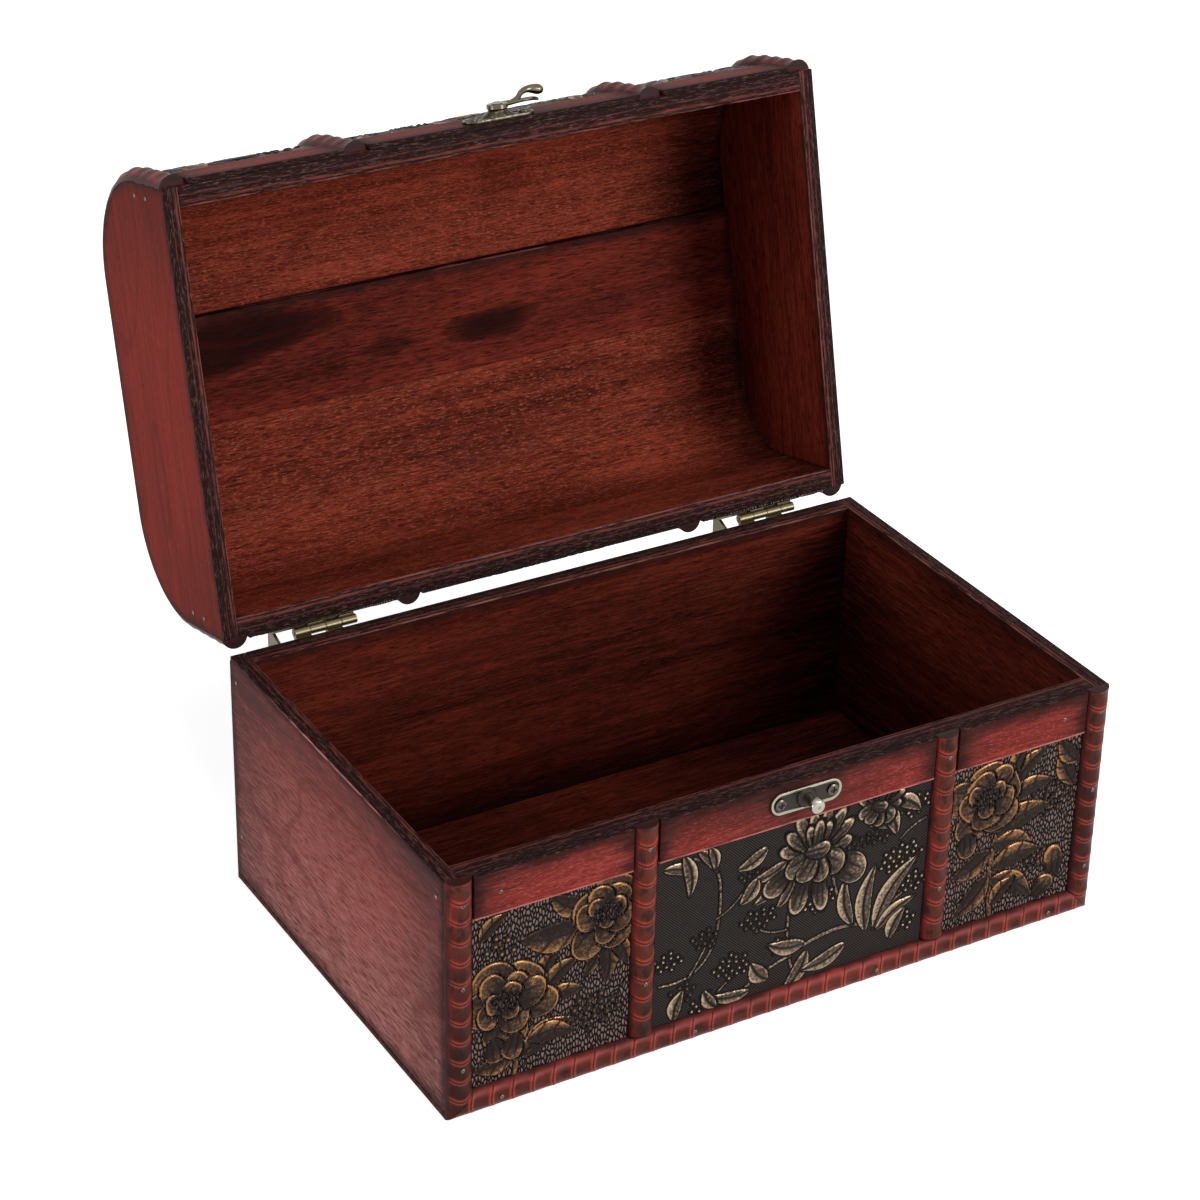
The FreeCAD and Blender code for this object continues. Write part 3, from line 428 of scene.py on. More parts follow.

# %% [markdown]
# ## Colours of the stains
# The lid is mahogany, with one smokier board; the inside of its right end takes the same darker stain as painted
# shade. The base is painted deeper inside as shade, because little light gets there, and the strips on the front
# are the brightest red of all.

# %% Colours of the stains
BOARD_OUTSIDE = Stain(srgb(72, 24, 20), srgb(116, 40, 33), srgb(139, 51, 44), srgb(162, 113, 108), srgb(68, 43, 42))
LID_OUTSIDE = Stain(srgb(68, 18, 13), srgb(110, 33, 24), srgb(131, 43, 32), srgb(150, 88, 78), srgb(68, 24, 18))
BOARD_INSIDE = Stain(srgb(50, 17, 12), srgb(105, 41, 29), srgb(146, 62, 43), srgb(174, 92, 68), srgb(24, 7, 5))
SMOKY_AND_SHADED_INSIDE = Stain(srgb(46, 15, 11), srgb(98, 34, 25), srgb(130, 51, 37), srgb(150, 82, 62), srgb(26, 8, 6))
SHADED_INSIDE = Stain(srgb(37, 12, 8), srgb(79, 29, 20), srgb(110, 43, 29), srgb(124, 64, 47), srgb(12, 3, 2))
STRIP_STAIN = Stain(srgb(84, 34, 30), srgb(126, 47, 42), srgb(160, 64, 58), srgb(192, 118, 110), srgb(66, 41, 38))
mahogany = stained_wood("mahogany_stain", LID_OUTSIDE, BOARD_INSIDE, flecks=(0.1, 0.55))
smoky_and_shaded_stain = stained_wood("smoky_and_shaded_stain", LID_OUTSIDE, SMOKY_AND_SHADED_INSIDE, flecks=(0.1, 0.12))
base_stain_and_shade = stained_wood("base_stain_and_shade", BOARD_OUTSIDE, SHADED_INSIDE, flecks=(0.1, 0.18), worn=0.1)
red_stain = stained_wood("red_strip_stain", STRIP_STAIN, STRIP_STAIN, reach=6.0, flecks=(0.3, 0.3))
print("stains:", [material.name for material in (mahogany, smoky_and_shaded_stain, base_stain_and_shade, red_stain)])

# %% [markdown]
# ## Making a piece
# Every piece goes through the same last step: lid pieces are turned open, millimetres become metres, faces are
# smoothed except across sharp edges, and the piece is tied to its body and its material slot, while the CAD node it
# stands for is hidden.

# %% Making a piece
SHARP = math.radians(38)


def finish_piece(bm, name, material, node):
    """Turns a bmesh into a piece that stands for a CAD node and rides on its body."""
    body = body_of[node]
    bm.normal_update()
    bmesh.ops.recalc_face_normals(bm, faces=bm.faces)
    if body != "base":
        bmesh.ops.transform(bm, matrix=LID_OPEN, verts=bm.verts)
    bmesh.ops.scale(bm, vec=(MM, MM, MM), verts=bm.verts)
    for face in bm.faces:
        face.smooth = True
    for edge in bm.edges:
        edge.smooth = len(edge.link_faces) == 2 and edge.calc_face_angle(0.0) < SHARP
    made = plain_object(bm, name)
    made.data.materials.append(material)
    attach(made, body)
    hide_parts(node)
    print(f"{name}: {len(made.data.polygons)} faces on {body}")


print("edges stay sharp from", round(math.degrees(SHARP)), "degrees")

# %% [markdown]
# ## Numbers on a board
# A stain has to know where it lies on a board: how far from the arris, how deep in the plywood, which way the
# fibres run. Image maps could say that, but a number stored on each vertex is simpler, and it stays with the
# piece when the lid moves.

# %% Numbers on a board
GRAIN_ORDER = {"x": (0, 1, 2), "y": (1, 0, 2), "z": (2, 0, 1)}
GRAIN_SHIFT = 400


def store(bm, name, rule):
    """Keeps a number on each vertex for the materials to read."""
    layer = bm.verts.layers.float.get(name) or bm.verts.layers.float.new(name)
    for vert in bm.verts:
        vert[layer] = rule(vert.co)


def store_grain(bm, axis, name):
    """Keeps grain coordinates whose first part runs along the fibres, shifted so that no two boards match."""
    layer = bm.verts.layers.float_vector.new("grain")
    chance = random.Random(name)
    shift = Vector([chance.uniform(-GRAIN_SHIFT, GRAIN_SHIFT) for part in range(3)])
    for vert in bm.verts:
        vert[layer] = Vector([vert.co[part] for part in GRAIN_ORDER[axis]]) + shift


def near(distance, reach):
    """One at no distance, falling softly to nothing beyond the reach."""
    return math.exp(-(distance / reach) ** 2)


print("what is near falls at its reach to", round(near(1.0, 1.0), 2))

# %% [markdown]
# ## Working a board
# A board is a cube scaled to size. A bevel takes the sharpness off its arrises, as sanding does, insets put rings
# of vertices on its broad faces, and bisect planes cut it into short steps, so that it can bend and carry numbers
# that change along it.

# %% Working a board
def whole(bm):
    return bm.verts[:] + bm.edges[:] + bm.faces[:]


def ease(bm, amount, sharp=50.0):
    """Takes the sharpness off the arrises."""
    arrises = [edge for edge in bm.edges if edge.calc_face_angle(0.0) > math.radians(sharp)]
    bmesh.ops.bevel(bm, geom=arrises, offset=amount, offset_type="OFFSET", segments=2, profile=0.5,
                    affect="EDGES", clamp_overlap=True, material=-1)


def ring_faces(bm, steps, least):
    """Insets the broad faces in rings, and keeps on each ring its distance from the arris."""
    layer = bm.verts.layers.float.new("edge")
    for face in [face for face in bm.faces if face.calc_area() > least]:
        reach = 0.0
        for step in steps:
            bmesh.ops.inset_individual(bm, faces=[face], thickness=step, use_even_offset=True)
            reach += step
            for vert in face.verts:
                vert[layer] = reach


def slice_along(bm, axis, start, end, step):
    """Cuts a piece into short steps."""
    way = Vector([1.0 if part == axis else 0.0 for part in "xyz"])
    for number in range(1, math.ceil((end - start) / step)):
        bmesh.ops.bisect_plane(bm, geom=whole(bm), plane_co=way * (start + number * step), plane_no=way)
    bmesh.ops.dissolve_degenerate(bm, edges=bm.edges, dist=1e-3)


def block(low, high, rounding):
    bm = bmesh.new()
    bmesh.ops.create_cube(bm, size=1.0)
    bmesh.ops.scale(bm, vec=high - low, verts=bm.verts)
    bmesh.ops.translate(bm, vec=(low + high) / 2, verts=bm.verts)
    ease(bm, rounding)
    return bm


def thicken(bm, step):
    """Extrudes all faces by a step, so that a flat shape gets a thickness."""
    grown = bmesh.ops.extrude_face_region(bm, geom=bm.faces[:])["geom"]
    moved = [item for item in grown if isinstance(item, bmesh.types.BMVert)]
    bmesh.ops.translate(bm, vec=step, verts=moved)
    bmesh.ops.recalc_face_normals(bm, faces=bm.faces)


def close_holes(bm):
    bmesh.ops.holes_fill(bm, edges=[edge for edge in bm.edges if edge.is_boundary], sides=0)


sample = block(Vector((0.0, 0.0, 0.0)), Vector((10.0, 10.0, 10.0)), 1.0)
print("a sanded block has", len(sample.faces), "faces")
sample.free()

# %% [markdown]
# ## Boards of the base
# Each board is as large as its CAD node. The rings of its broad faces carry the distance from the arris to the
# stain. Painted shade darkens the inside, most in the corner at the right back, across the right of the floor and at
# the foot of the walls. The outside of the left end is darker towards its front and back edges and its top, and a
# pink bloom of dust and painted sheen lies over the lower part of both ends.

# %% Shade and darkening on the base
CORNER_SHADE, EDGE_DARKENING = 32.0, 16.0
BARE_LENGTH, BARE_WIDTH = 60.0, 0.4


def left_end_darkening(co):
    front, back = near(co.y - FRONT, 1.3 * EDGE_DARKENING), near(BACK - co.y, 1.6 * EDGE_DARKENING)
    return 0.6 * front + 0.75 * back + 0.7 * near(BASE_TOP - co.z, EDGE_DARKENING)


# Painted shade on the inside of the right end, deepest in the back corner and at the foot.
def right_end_shade(co):
    return 0.15 + 0.6 * near(BACK - co.y, CORNER_SHADE) + 0.4 * near(co.z, 2 * EDGE_DARKENING)


def bare_arris(co, depth):
    """How bare the upper outer arris of an end is worn; depth is the share of the thickness."""
    on_arris = depth < 0.05 and 0.0 < BASE_TOP - co.z < BARE_WIDTH
    return near(co.y, BARE_LENGTH) if on_arris else 0.0


print("smoke reaches", CORNER_SHADE, "mm out of a corner")

# %% Boards of the base
Board = namedtuple("Board", "grain ply smoke")
BOARD_RINGS, BROAD_FACE = (1.0, 2.5, 5.0), 2500.0
ARRIS, BOARD_STEP, BOTTOM_THICK = 0.35, 8.0, 2.5
FAR = 99.0
base_boards = {
    "base_bottom_panel": Board("x", lambda co: co.z / BOTTOM_THICK,
                               lambda co: 0.8 * near(RIGHT - co.x, 2 * CORNER_SHADE)),
    "base_front_panel": Board("x", lambda co: (co.y - FRONT) / WALL, lambda co: 0.3),
    "base_back_panel": Board("x", lambda co: (BACK - co.y) / WALL,
                             lambda co: near(RIGHT - co.x, CORNER_SHADE) + 0.5 * near(co.z, EDGE_DARKENING)),
    "base_left_end": Board("y", lambda co: (co.x - LEFT) / END, left_end_darkening),
    "base_right_end": Board("y", lambda co: (RIGHT - co.x) / END, right_end_shade),
}
for node, (axis, ply, smoke) in base_boards.items():
    low, high = (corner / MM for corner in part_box(node))
    bm = block(low, high, ARRIS)
    ring_faces(bm, BOARD_RINGS, BROAD_FACE)
    for part, start, end in zip("xyz", low, high):
        if end - start > 4 * END:
            slice_along(bm, part, start, end, BOARD_STEP)
    store_grain(bm, axis, node)
    store(bm, "ply", ply)
    store(bm, "rim", lambda co: FAR if node == "base_bottom_panel" else BASE_TOP - co.z)
    inside = node != "base_left_end"
    # Painted shade on the inside of the base; on the left end, the darkening of its outside.
    store(bm, "shade", lambda co: min(1.0, smoke(co)) if (ply(co) > 0.5) == inside else 0.0)
    if node.endswith("end"):
        # A bloom of dust and painted sheen, strongest at the foot of the ends.
        store(bm, "bloom", lambda co: 0.2 + 0.8 * (1 - co.z / BASE_TOP))
        store(bm, "pale", lambda co: bare_arris(co, ply(co)))
    finish_piece(bm, f"dressed_{node}", base_stain_and_shade, node)

# %% [markdown]
# ## Shape of the lid
# The lid is a barrel: up the front, round a bend, over the flat crown, round a tighter bend and down the back.
# One function walks along that line and gives the point at any distance, and any way out from the boards, so that
# boards, skins and hoops can all be bent from straight ones.

# %% Line of the lid
LID_HEIGHT, FRONT_BEND, BACK_BEND = 59.0, 36.0, 30.0
FRONT_RUN = LID_HEIGHT - FRONT_BEND
FRONT_ARC = FRONT_BEND * math.pi / 2
CROWN_RUN = BACK - FRONT - FRONT_BEND - BACK_BEND
BACK_ARC = BACK_BEND * math.pi / 2
BACK_RUN = LID_HEIGHT - BACK_BEND
LID_LINE = FRONT_RUN + FRONT_ARC + CROWN_RUN + BACK_ARC + BACK_RUN


def lid_line(along, out):
    """Point (y, z) that far along the closed lid from the front rim, and that far out from its boards."""
    if along <= FRONT_RUN:
        return FRONT - out, RIM + along
    along -= FRONT_RUN
    if along <= FRONT_ARC:
        turn, reach = along / FRONT_BEND, FRONT_BEND + out
        return FRONT + FRONT_BEND - reach * math.cos(turn), RIM + FRONT_RUN + reach * math.sin(turn)
    along -= FRONT_ARC
    if along <= CROWN_RUN:
        return FRONT + FRONT_BEND + along, RIM + LID_HEIGHT + out
    along -= CROWN_RUN
    if along <= BACK_ARC:
        turn, reach = along / BACK_BEND, BACK_BEND + out
        return BACK - BACK_BEND + reach * math.sin(turn), RIM + BACK_RUN + reach * math.cos(turn)
    return BACK + out, RIM + BACK_RUN - (along - BACK_ARC)


print("line over the lid:", round(LID_LINE, 1), "mm")

# %% [markdown]
# ## Boards of the lid
# The rails and barrel boards start as flat strips along the line of the lid, cut into short steps, and are then
# wrapped over it. The front board is thinner, so the middle board stands proud of it inside. The middle board is
# a smokier piece with knots, which it stores as soft dark ovals.

# %% Knots of the middle board
JOINT_FRONT = FRONT_RUN + FRONT_ARC + 14.9
JOINT_BACK = FRONT_RUN + FRONT_ARC + 50.7
Knot = namedtuple("Knot", "x along length width dark")
KNOTS = (Knot(-88.0, JOINT_FRONT + 12.0, 24.0, 10.0, 1.0), Knot(-58.0, JOINT_FRONT + 8.0, 26.0, 7.0, 0.6),
         Knot(14.0, JOINT_FRONT + 22.0, 20.0, 7.0, 0.75), Knot(-28.0, JOINT_FRONT + 24.0, 16.0, 5.0, 0.4))


def knot_shade(co):
    """How dark the knots make a point of the middle board."""
    return min(1.0, sum(spot.dark * math.exp(-((co.x - spot.x) / spot.length) ** 2
                                             - ((co.z - spot.along) / spot.width) ** 2) for spot in KNOTS))


print("knots:", len(KNOTS))

# %% Barrel boards
RAIL, THIN, THICK = 27.0, 4.5, 6.5
FRONT_GAP, BACK_GAP = 0.6, 0.15
BEND_STEP, LENGTH_STEP = 2.5, 4.0
SANDED, TIGHT = 0.3, 0.12
MIDDLE_BOARD = "lid_middle_board"
LID_SHADOW, OTHER_SHADOW, SHADOW_REACH = {"lid_front_board": 0.9, MIDDLE_BOARD: 0.3}, 0.7, 30.0
barrel_boards = {
    "lid_front_rail": (0.0, RAIL, THICK, SANDED),
    "lid_front_board": (RAIL, JOINT_FRONT, THIN, SANDED),
    MIDDLE_BOARD: (JOINT_FRONT + FRONT_GAP, JOINT_BACK, THICK, TIGHT),
    "lid_back_board": (JOINT_BACK + BACK_GAP, LID_LINE - RAIL, THICK, TIGHT),
    "lid_back_rail": (LID_LINE - RAIL, LID_LINE, THICK, SANDED),
}


def lay(bm, rule):
    """Moves each point of a straight piece to its place on the chest."""
    for vert in bm.verts:
        vert.co = Vector(rule(vert.co))


for node, (start, end, thick, rounding) in barrel_boards.items():
    left, right = LEFT + END, RIGHT - END
    bm = block(Vector((left, -thick, start)), Vector((right, 0.0, end)), rounding)
    slice_along(bm, "z", start, end, BEND_STEP)
    slice_along(bm, "x", left, right, LENGTH_STEP)
    if node == MIDDLE_BOARD:
        store(bm, "knot", knot_shade)
    store_grain(bm, "x", node)
    store(bm, "ply", lambda co: -co.y / thick)
    joint = start if node == MIDDLE_BOARD else -FAR
    store(bm, "edge", lambda co: min(co.x - left, right - co.x, co.z - joint))
    store(bm, "rim", lambda co: min(co.z, LID_LINE - co.z))
    # Painted shadow on the inside face, darkest beside the right end of the lid.
    shadow = LID_SHADOW.get(node, OTHER_SHADOW)
    store(bm, "shade", lambda co: shadow * near(right - co.x, SHADOW_REACH) if co.y < -thick / 2 else 0.0)
    lay(bm, lambda co: (co.x, *lid_line(co.z, co.y)))
    finish_piece(bm, f"dressed_{node}", smoky_and_shaded_stain if node == MIDDLE_BOARD else mahogany, node)

# %% [markdown]
# ## Ends of the lid
# An end is the outline of the barrel, sawn from a flat board. A circle of vertices is moved onto the line of
# the lid and its face extruded by the thickness of the board; rings of insets carry the distance from the arris.

# %% Ends of the lid
BEND_SHARES = [number / 20 for number in range(21)]
outline = [0.0] + [FRONT_RUN + FRONT_ARC * share for share in BEND_SHARES]
outline += [LID_LINE - BACK_RUN - BACK_ARC * (1 - share) for share in BEND_SHARES] + [LID_LINE]


# The outside of a lid end is darker towards its front and its back.
def lid_end_darkening(co):
    return 0.5 * near(co.y - FRONT, 34.0) + 0.4 * near(BACK - co.y, 50.0)


# The right end takes the smokier stain, which paints shade on its inside.
lid_ends = {"lid_left_end": (LEFT, 1.0, mahogany), "lid_right_end": (RIGHT, -1.0, smoky_and_shaded_stain)}
for node, (face_x, way, material) in lid_ends.items():
    bm = bmesh.new()
    bmesh.ops.create_circle(bm, cap_ends=True, segments=len(outline), radius=1.0)
    for vert, along in zip(bm.verts, outline):
        vert.co = Vector((face_x, *lid_line(along, 0.0)))
    bm.normal_update()
    ring_faces(bm, BOARD_RINGS, BROAD_FACE)
    thicken(bm, (way * END, 0.0, 0.0))
    ease(bm, ARRIS)
    slice_along(bm, "y", FRONT, BACK, BOARD_STEP)
    slice_along(bm, "z", RIM, RIM + LID_HEIGHT, BOARD_STEP)
    store_grain(bm, "y", node)
    store(bm, "ply", lambda co: way * (co.x - face_x) / END)
    store(bm, "rim", lambda co: co.z - RIM)
    store(bm, "shade", lambda co: lid_end_darkening(co) if way * (co.x - face_x) < END / 2 else 0.0)
    finish_piece(bm, f"dressed_{node}", material, node)

# %% [markdown]
# ## Red strips
# Flat red strips edge the front of the base and of the lid. Their stain is uneven, in bright patches. Painted shade
# darkens their ends, where they meet the mouldings, and they are darker behind the latch and along the rim. Bisect
# planes cut them into steps that carry that tone.

# %% Red strips
LATCH_X, LATCH_SHADE = 2.0, 23.0
LEFT_SHADE, RIGHT_SHADE, RIM_SHADE = 7.0, 6.0, 5.0
PALE_EDGE, LENGTH_CUT, HEIGHT_CUT = 0.35, 2.5, 1.5


def strip_shade(co, start, end, rim_distance):
    """Dark behind the latch and along the rim, and painted shade at both ends of a strip, beside the mouldings."""
    ends = near(co.x - start, LEFT_SHADE) + near(end - co.x, RIGHT_SHADE)
    return min(1.0, near(co.x - LATCH_X, LATCH_SHADE) + 0.8 * ends + 0.5 * near(rim_distance, RIM_SHADE))


strip_places = {"front_top_strip": (BASE_TOP - STRIP_HEIGHT, lambda co: BASE_TOP - co.z),
                "lid_front_strip": (RIM, lambda co: co.z - RIM)}
for part, (low_z, from_rim) in strip_places.items():
    for field, (start, end) in FIELDS.items():
        node = f"{part}_{field}"
        bm = block(Vector((start, FRONT - STRIP, low_z)), Vector((end, FRONT, low_z + STRIP_HEIGHT)), SANDED)
        slice_along(bm, "x", start, end, LENGTH_CUT)
        slice_along(bm, "z", low_z, low_z + STRIP_HEIGHT, HEIGHT_CUT)
        store_grain(bm, "x", node)
        store(bm, "edge", lambda co: min(from_rim(co), co.x - start, end - co.x) + 0.3)
        store(bm, "pale", lambda co: 1.0 if STRIP_HEIGHT - from_rim(co) < PALE_EDGE else 0.0)
        store(bm, "shade", lambda co: strip_shade(co, start, end, from_rim(co)))
        store(bm, "ply", lambda co: (co.y - FRONT + STRIP) / STRIP * 0.3)
        store(bm, "rim", from_rim)
        finish_piece(bm, f"dressed_{node}", red_stain, node)

# %% [markdown]
# ## Moulding stain
# The mouldings are stained red, with a brown thumb mark in each scoop and dark smudges. A painted highlight lies on
# each ridge and a thin painted shadow line between the scoops, painted shade darkens the sides and ends of each bar,
# and the flanks of the bottom one carry dust and a painted sheen. Each bar stores how deep in a scoop and how near
# its crown a point is, so that the coats of colour can follow the carving.

# %% Moulding stain
DEEP_RED, RED, LIGHT_RED = srgb(72, 20, 16), srgb(118, 34, 28), srgb(170, 55, 46)
DEEP_BROWN, BROWN, SMUDGE = srgb(46, 23, 17), srgb(86, 42, 31), srgb(36, 19, 17)
RIDGE_HIGHLIGHT, DUST_AND_SHEEN, SCOOP_SHADE, SEAM_SHADE = srgb(178, 82, 66), srgb(178, 76, 72), srgb(44, 17, 14), srgb(34, 18, 17)


def moulding_stain():
    bar = Finish("red_moulding_stain", gloss=0.08)
    grain = bar.stored("grain", "Vector")
    wood = bar.group(fibre, Grain=grain)
    scoop, crown = bar.stored("scoop"), bar.stored("crown")
    tone = bar.plus(bar.times(wood["Cloud"], 0.6), bar.times(wood["Fibre"], 0.4))
    red = bar.ramp(tone, (0.36, DEEP_RED), (0.5, RED), (0.64, LIGHT_RED))
    brown = bar.ramp(wood["Cloud"], (0.4, DEEP_BROWN), (0.6, BROWN))
    thumb = bar.fade(bar.times(scoop, crown), 0.2, 0.62)
    smudge = bar.fade(bar.noise(grain, (0.13, 0.2, 0.2), 4.0, 0.65), 0.49, 0.65)
    rounded = bar.fade(crown, 0.1, 0.4)
    # Painted highlight on the ridge, a painted shadow line beside it, and dust with painted sheen on the flanks.
    ridge = bar.times(bar.fade(scoop, 0.6, 0.25), rounded)
    line = bar.times(bar.fade(scoop, 0.26, 0.06), rounded)
    dust_and_sheen = bar.times(bar.stored("bloom"), bar.fade(crown, 0.95, 0.5))
    # Painted shade at the sides and ends of the bar, where it meets its neighbours.
    edges = bar.group(edge_stain_and_shade, Edge=bar.stored("edge"), Reach=1.8, Grain=grain)
    bar.put("Base Color", bar.coats(
        red, (bar.times(thumb, 0.9), brown), (bar.times(smudge, 0.8), SMUDGE), (bar.times(ridge, 0.42), RIDGE_HIGHLIGHT),
        (bar.times(dust_and_sheen, 0.4), DUST_AND_SHEEN), (bar.times(line, 0.85), SCOOP_SHADE), (bar.times(edges["Mask"], 0.9), SEAM_SHADE)))
    bar.put("Roughness", bar.plus(0.28, bar.times(wood["Fibre"], 0.25)))
    bar.bump(wood["Fibre"], 0.00015, 0.6)
    return bar.material


scalloped_red = moulding_stain()
print("stain:", scalloped_red.name)

# %% [markdown]
# ## Scalloped bar
# The mouldings are half-rounds with a row of thumb-nail scoops down the crown. A circle cut flat by a bisect
# plane gives the section, and a spin of no angle with a step vector draws it out into a bar with many sections.
# Each section is then sunk by the depth of the scoop it lies in, with bowed ridges left standing between. The
# scoops were cut by hand, so their depth varies a little.

# %% Scalloped bar
SCALLOP, CUTS = 6.8, 12
SCOOP_DEPTH, SCOOP_BOW = 0.55, 2.2
BAR_SEGMENTS, BAR_SINK = 32, 0.03
HALF = ROUND_WIDTH / 2
ON_THE_LINE = 1e-4


def scalloped_bar(length):
    """Half-round bar along Z from 0, X across it and Y out, with its scoops."""
    radius = ROUND_WIDTH ** 2 / (8 * ROUND_RISE) + ROUND_RISE / 2
    bm = bmesh.new()
    bmesh.ops.create_circle(bm, cap_ends=True, segments=BAR_SEGMENTS, radius=radius)
    bmesh.ops.translate(bm, vec=(0.0, ROUND_RISE - radius - BAR_SINK, 0.0), verts=bm.verts)
    bmesh.ops.bisect_plane(bm, geom=whole(bm), plane_no=(0.0, -1.0, 0.0), clear_outer=True)
    scoops = round(length / SCALLOP)
    pitch, steps = length / scoops, scoops * CUTS
    bmesh.ops.spin(bm, geom=whole(bm), axis=(0.0, 0.0, 1.0), angle=0.0, steps=steps,
                   dvec=(0.0, 0.0, length / steps), use_duplicate=False)
    bmesh.ops.recalc_face_normals(bm, faces=bm.faces)
    scoop_layer, crown_layer, edge_layer = (bm.verts.layers.float.new(name) for name in ("scoop", "crown", "edge"))
    for vert in bm.verts:
        side = vert.co.x / HALF
        crown = max(0.0, 1.0 - side * side)
        place = vert.co.z / pitch + ON_THE_LINE
        scoop = 1.0 - (2.0 * (place % 1.0) - 1.0) ** 2
        from_end = min(vert.co.z, length - vert.co.z)
        vert[scoop_layer], vert[crown_layer] = scoop, crown
        vert[edge_layer] = min(HALF - abs(vert.co.x), from_end)
        uneven = 0.9 + 0.2 * math.sin(2.4 * math.floor(place) + length)
        vert.co.y -= uneven * SCOOP_DEPTH * scoop * math.sqrt(crown) * vert.co.y / ROUND_RISE
        vert.co.z += SCOOP_BOW * side * side * min(1.0, from_end / pitch)
    return bm


def mitre(bm, point, away):
    """Saws an end off at an angle and closes the cut."""
    bmesh.ops.bisect_plane(bm, geom=whole(bm), plane_co=point, plane_no=away, clear_outer=True)
    close_holes(bm)


print(f"bar of {ROUND_WIDTH} x {ROUND_RISE} mm with a scoop every {SCALLOP} mm")

# %% [markdown]
# ## Mouldings and hoops
# The bars stand at the corners and between the fields, and one lies along the bottom of the front, mitred into
# the corners. The four hoops of the lid are the same bar, bent over the barrel from the front rim to the back
# rim: because it is already cut into short sections, the wrap only has to move its points.

# %% Mouldings and hoops
BACK_SHORT, HOOP_GAP = 2.8, 1.8
WIDTH = RIGHT - LEFT


def set_moulding(bm, seed, piece, node, rule):
    store_grain(bm, "z", seed)
    lay(bm, rule)
    finish_piece(bm, f"dressed_{piece}", scalloped_red, node)


for side, outward in (("left", -1.0), ("right", 1.0)):
    corner, divider = ROUND_CENTRES[f"{side}_end"], ROUND_CENTRES[f"{side}_middle"]
    bm = scalloped_bar(BASE_TOP)
    mitre(bm, (outward * HALF, 0.0, 0.0), (-outward, 0.0, -1.0))
    set_moulding(bm, f"corner_{side}", f"corner_moulding_{side}", f"front_corner_moulding_{side}",
                 lambda co: (corner + co.x, FRONT - co.y, co.z))
    set_moulding(scalloped_bar(BASE_TOP - ROUND_WIDTH), f"divider_{side}", f"divider_moulding_{side}",
                 f"front_divider_moulding_{side}", lambda co: (divider + co.x, FRONT - co.y, ROUND_WIDTH + co.z))
    set_moulding(scalloped_bar(BASE_TOP - BACK_SHORT), f"back_{side}", f"back_moulding_{side}",
                 f"back_corner_moulding_{side}", lambda co: (corner - co.x, BACK + co.y, co.z))

bm = scalloped_bar(WIDTH)
mitre(bm, (-HALF, 0.0, 0.0), (1.0, 0.0, -1.0))
mitre(bm, (-HALF, 0.0, WIDTH), (1.0, 0.0, 1.0))
store(bm, "bloom", lambda co: 1.0)
set_moulding(bm, "bottom", "bottom_moulding", "front_bottom_moulding",
             lambda co: (LEFT + co.z, FRONT - co.y, HALF + co.x))

for place, centre in ROUND_CENTRES.items():
    set_moulding(scalloped_bar(LID_LINE - 2 * HOOP_GAP), f"hoop_{place}", f"hoop_{place}", f"lid_hoop_{place}",
                 lambda co: (centre + co.x, *lid_line(HOOP_GAP + co.z, co.y)))

# %% [markdown]
# ## Embossed leatherette
# The fields are leatherette, pressed with peonies, leaves, vines and berries and rubbed with bronze. The press
# is modelled as a height map: each motif raises its own shape over what is below it and sinks a dark line round
# itself, so petals overlap as in a real die. The map also keeps what is rubbed bright and what stays dark.

# %% Height map of a pressed sheet
SHOULDER, OUTLINE, OUTLINE_DEPTH = 0.45, 0.55, 0.22


class PressedSheet:
    """Maps of a sheet in millimetres, u across and v along it: its height, and what is raised, rubbed and inked."""

    def __init__(self, width, length, pitch):
        self.width = width
        self.columns, self.rows = round(width / pitch), round(length / pitch)
        self.u = np.linspace(0.0, width, self.columns + 1)
        self.v = np.linspace(0.0, length, self.rows + 1)
        self.maps = {name: np.zeros((self.rows + 1, self.columns + 1)) for name in ("height", "raised", "rub", "ink")}

    def press(self, u, v, reach, shape):
        """Presses a motif; shape gives the depth inside its outline, its top and its rub round the point."""
        rows, columns = np.abs(self.v - v) < reach, np.abs(self.u - u) < reach
        if not (rows.any() and columns.any()):
            return
        part = np.ix_(rows, columns)
        inside, top, rub = shape(*np.meshgrid(self.u[columns] - u, self.v[rows] - v))
        body = inside > 0
        ring = ~body & (inside > -OUTLINE)
        rounded = 1 - np.exp(-np.clip(inside, 0, None) / SHOULDER)
        groove = 1 + inside / OUTLINE
        sunk = np.minimum(self.maps["height"][part], -OUTLINE_DEPTH * groove)
        pressed = {"height": (rounded * top, sunk), "raised": (rounded, 0.0), "rub": (rub, 0.0),
                   "ink": (0.0, np.clip(2.0 * groove, 0, 1))}
        for name, (on_body, in_groove) in pressed.items():
            kept = self.maps[name]
            kept[part] = np.where(body, on_body, np.where(ring, in_groove, kept[part]))


print("grooves:", OUTLINE, "mm wide and", OUTLINE_DEPTH, "mm deep")

# %% [markdown]
# ## Leaves and petals
# A leaf is a long lens with a sunk midrib and side veins, with a painted highlight on one half. A blade is a narrow
# leaf without side veins. A petal is a rounded cup with creases, brightest at its lip and painted lighter on one
# side.
# Each is written as how far inside its outline a point lies, how high it stands and how much it is rubbed.

# %% Leaves and petals
LEAF_RISE, PETAL_RISE = 0.55, 0.75
LIP = 0.25


def turned(du, dv, degrees):
    angle = math.radians(degrees)
    return du * math.cos(angle) + dv * math.sin(angle), dv * math.cos(angle) - du * math.sin(angle)


def hump(distance, reach):
    """The same as near, for whole maps."""
    return np.exp(-(distance / reach) ** 2)


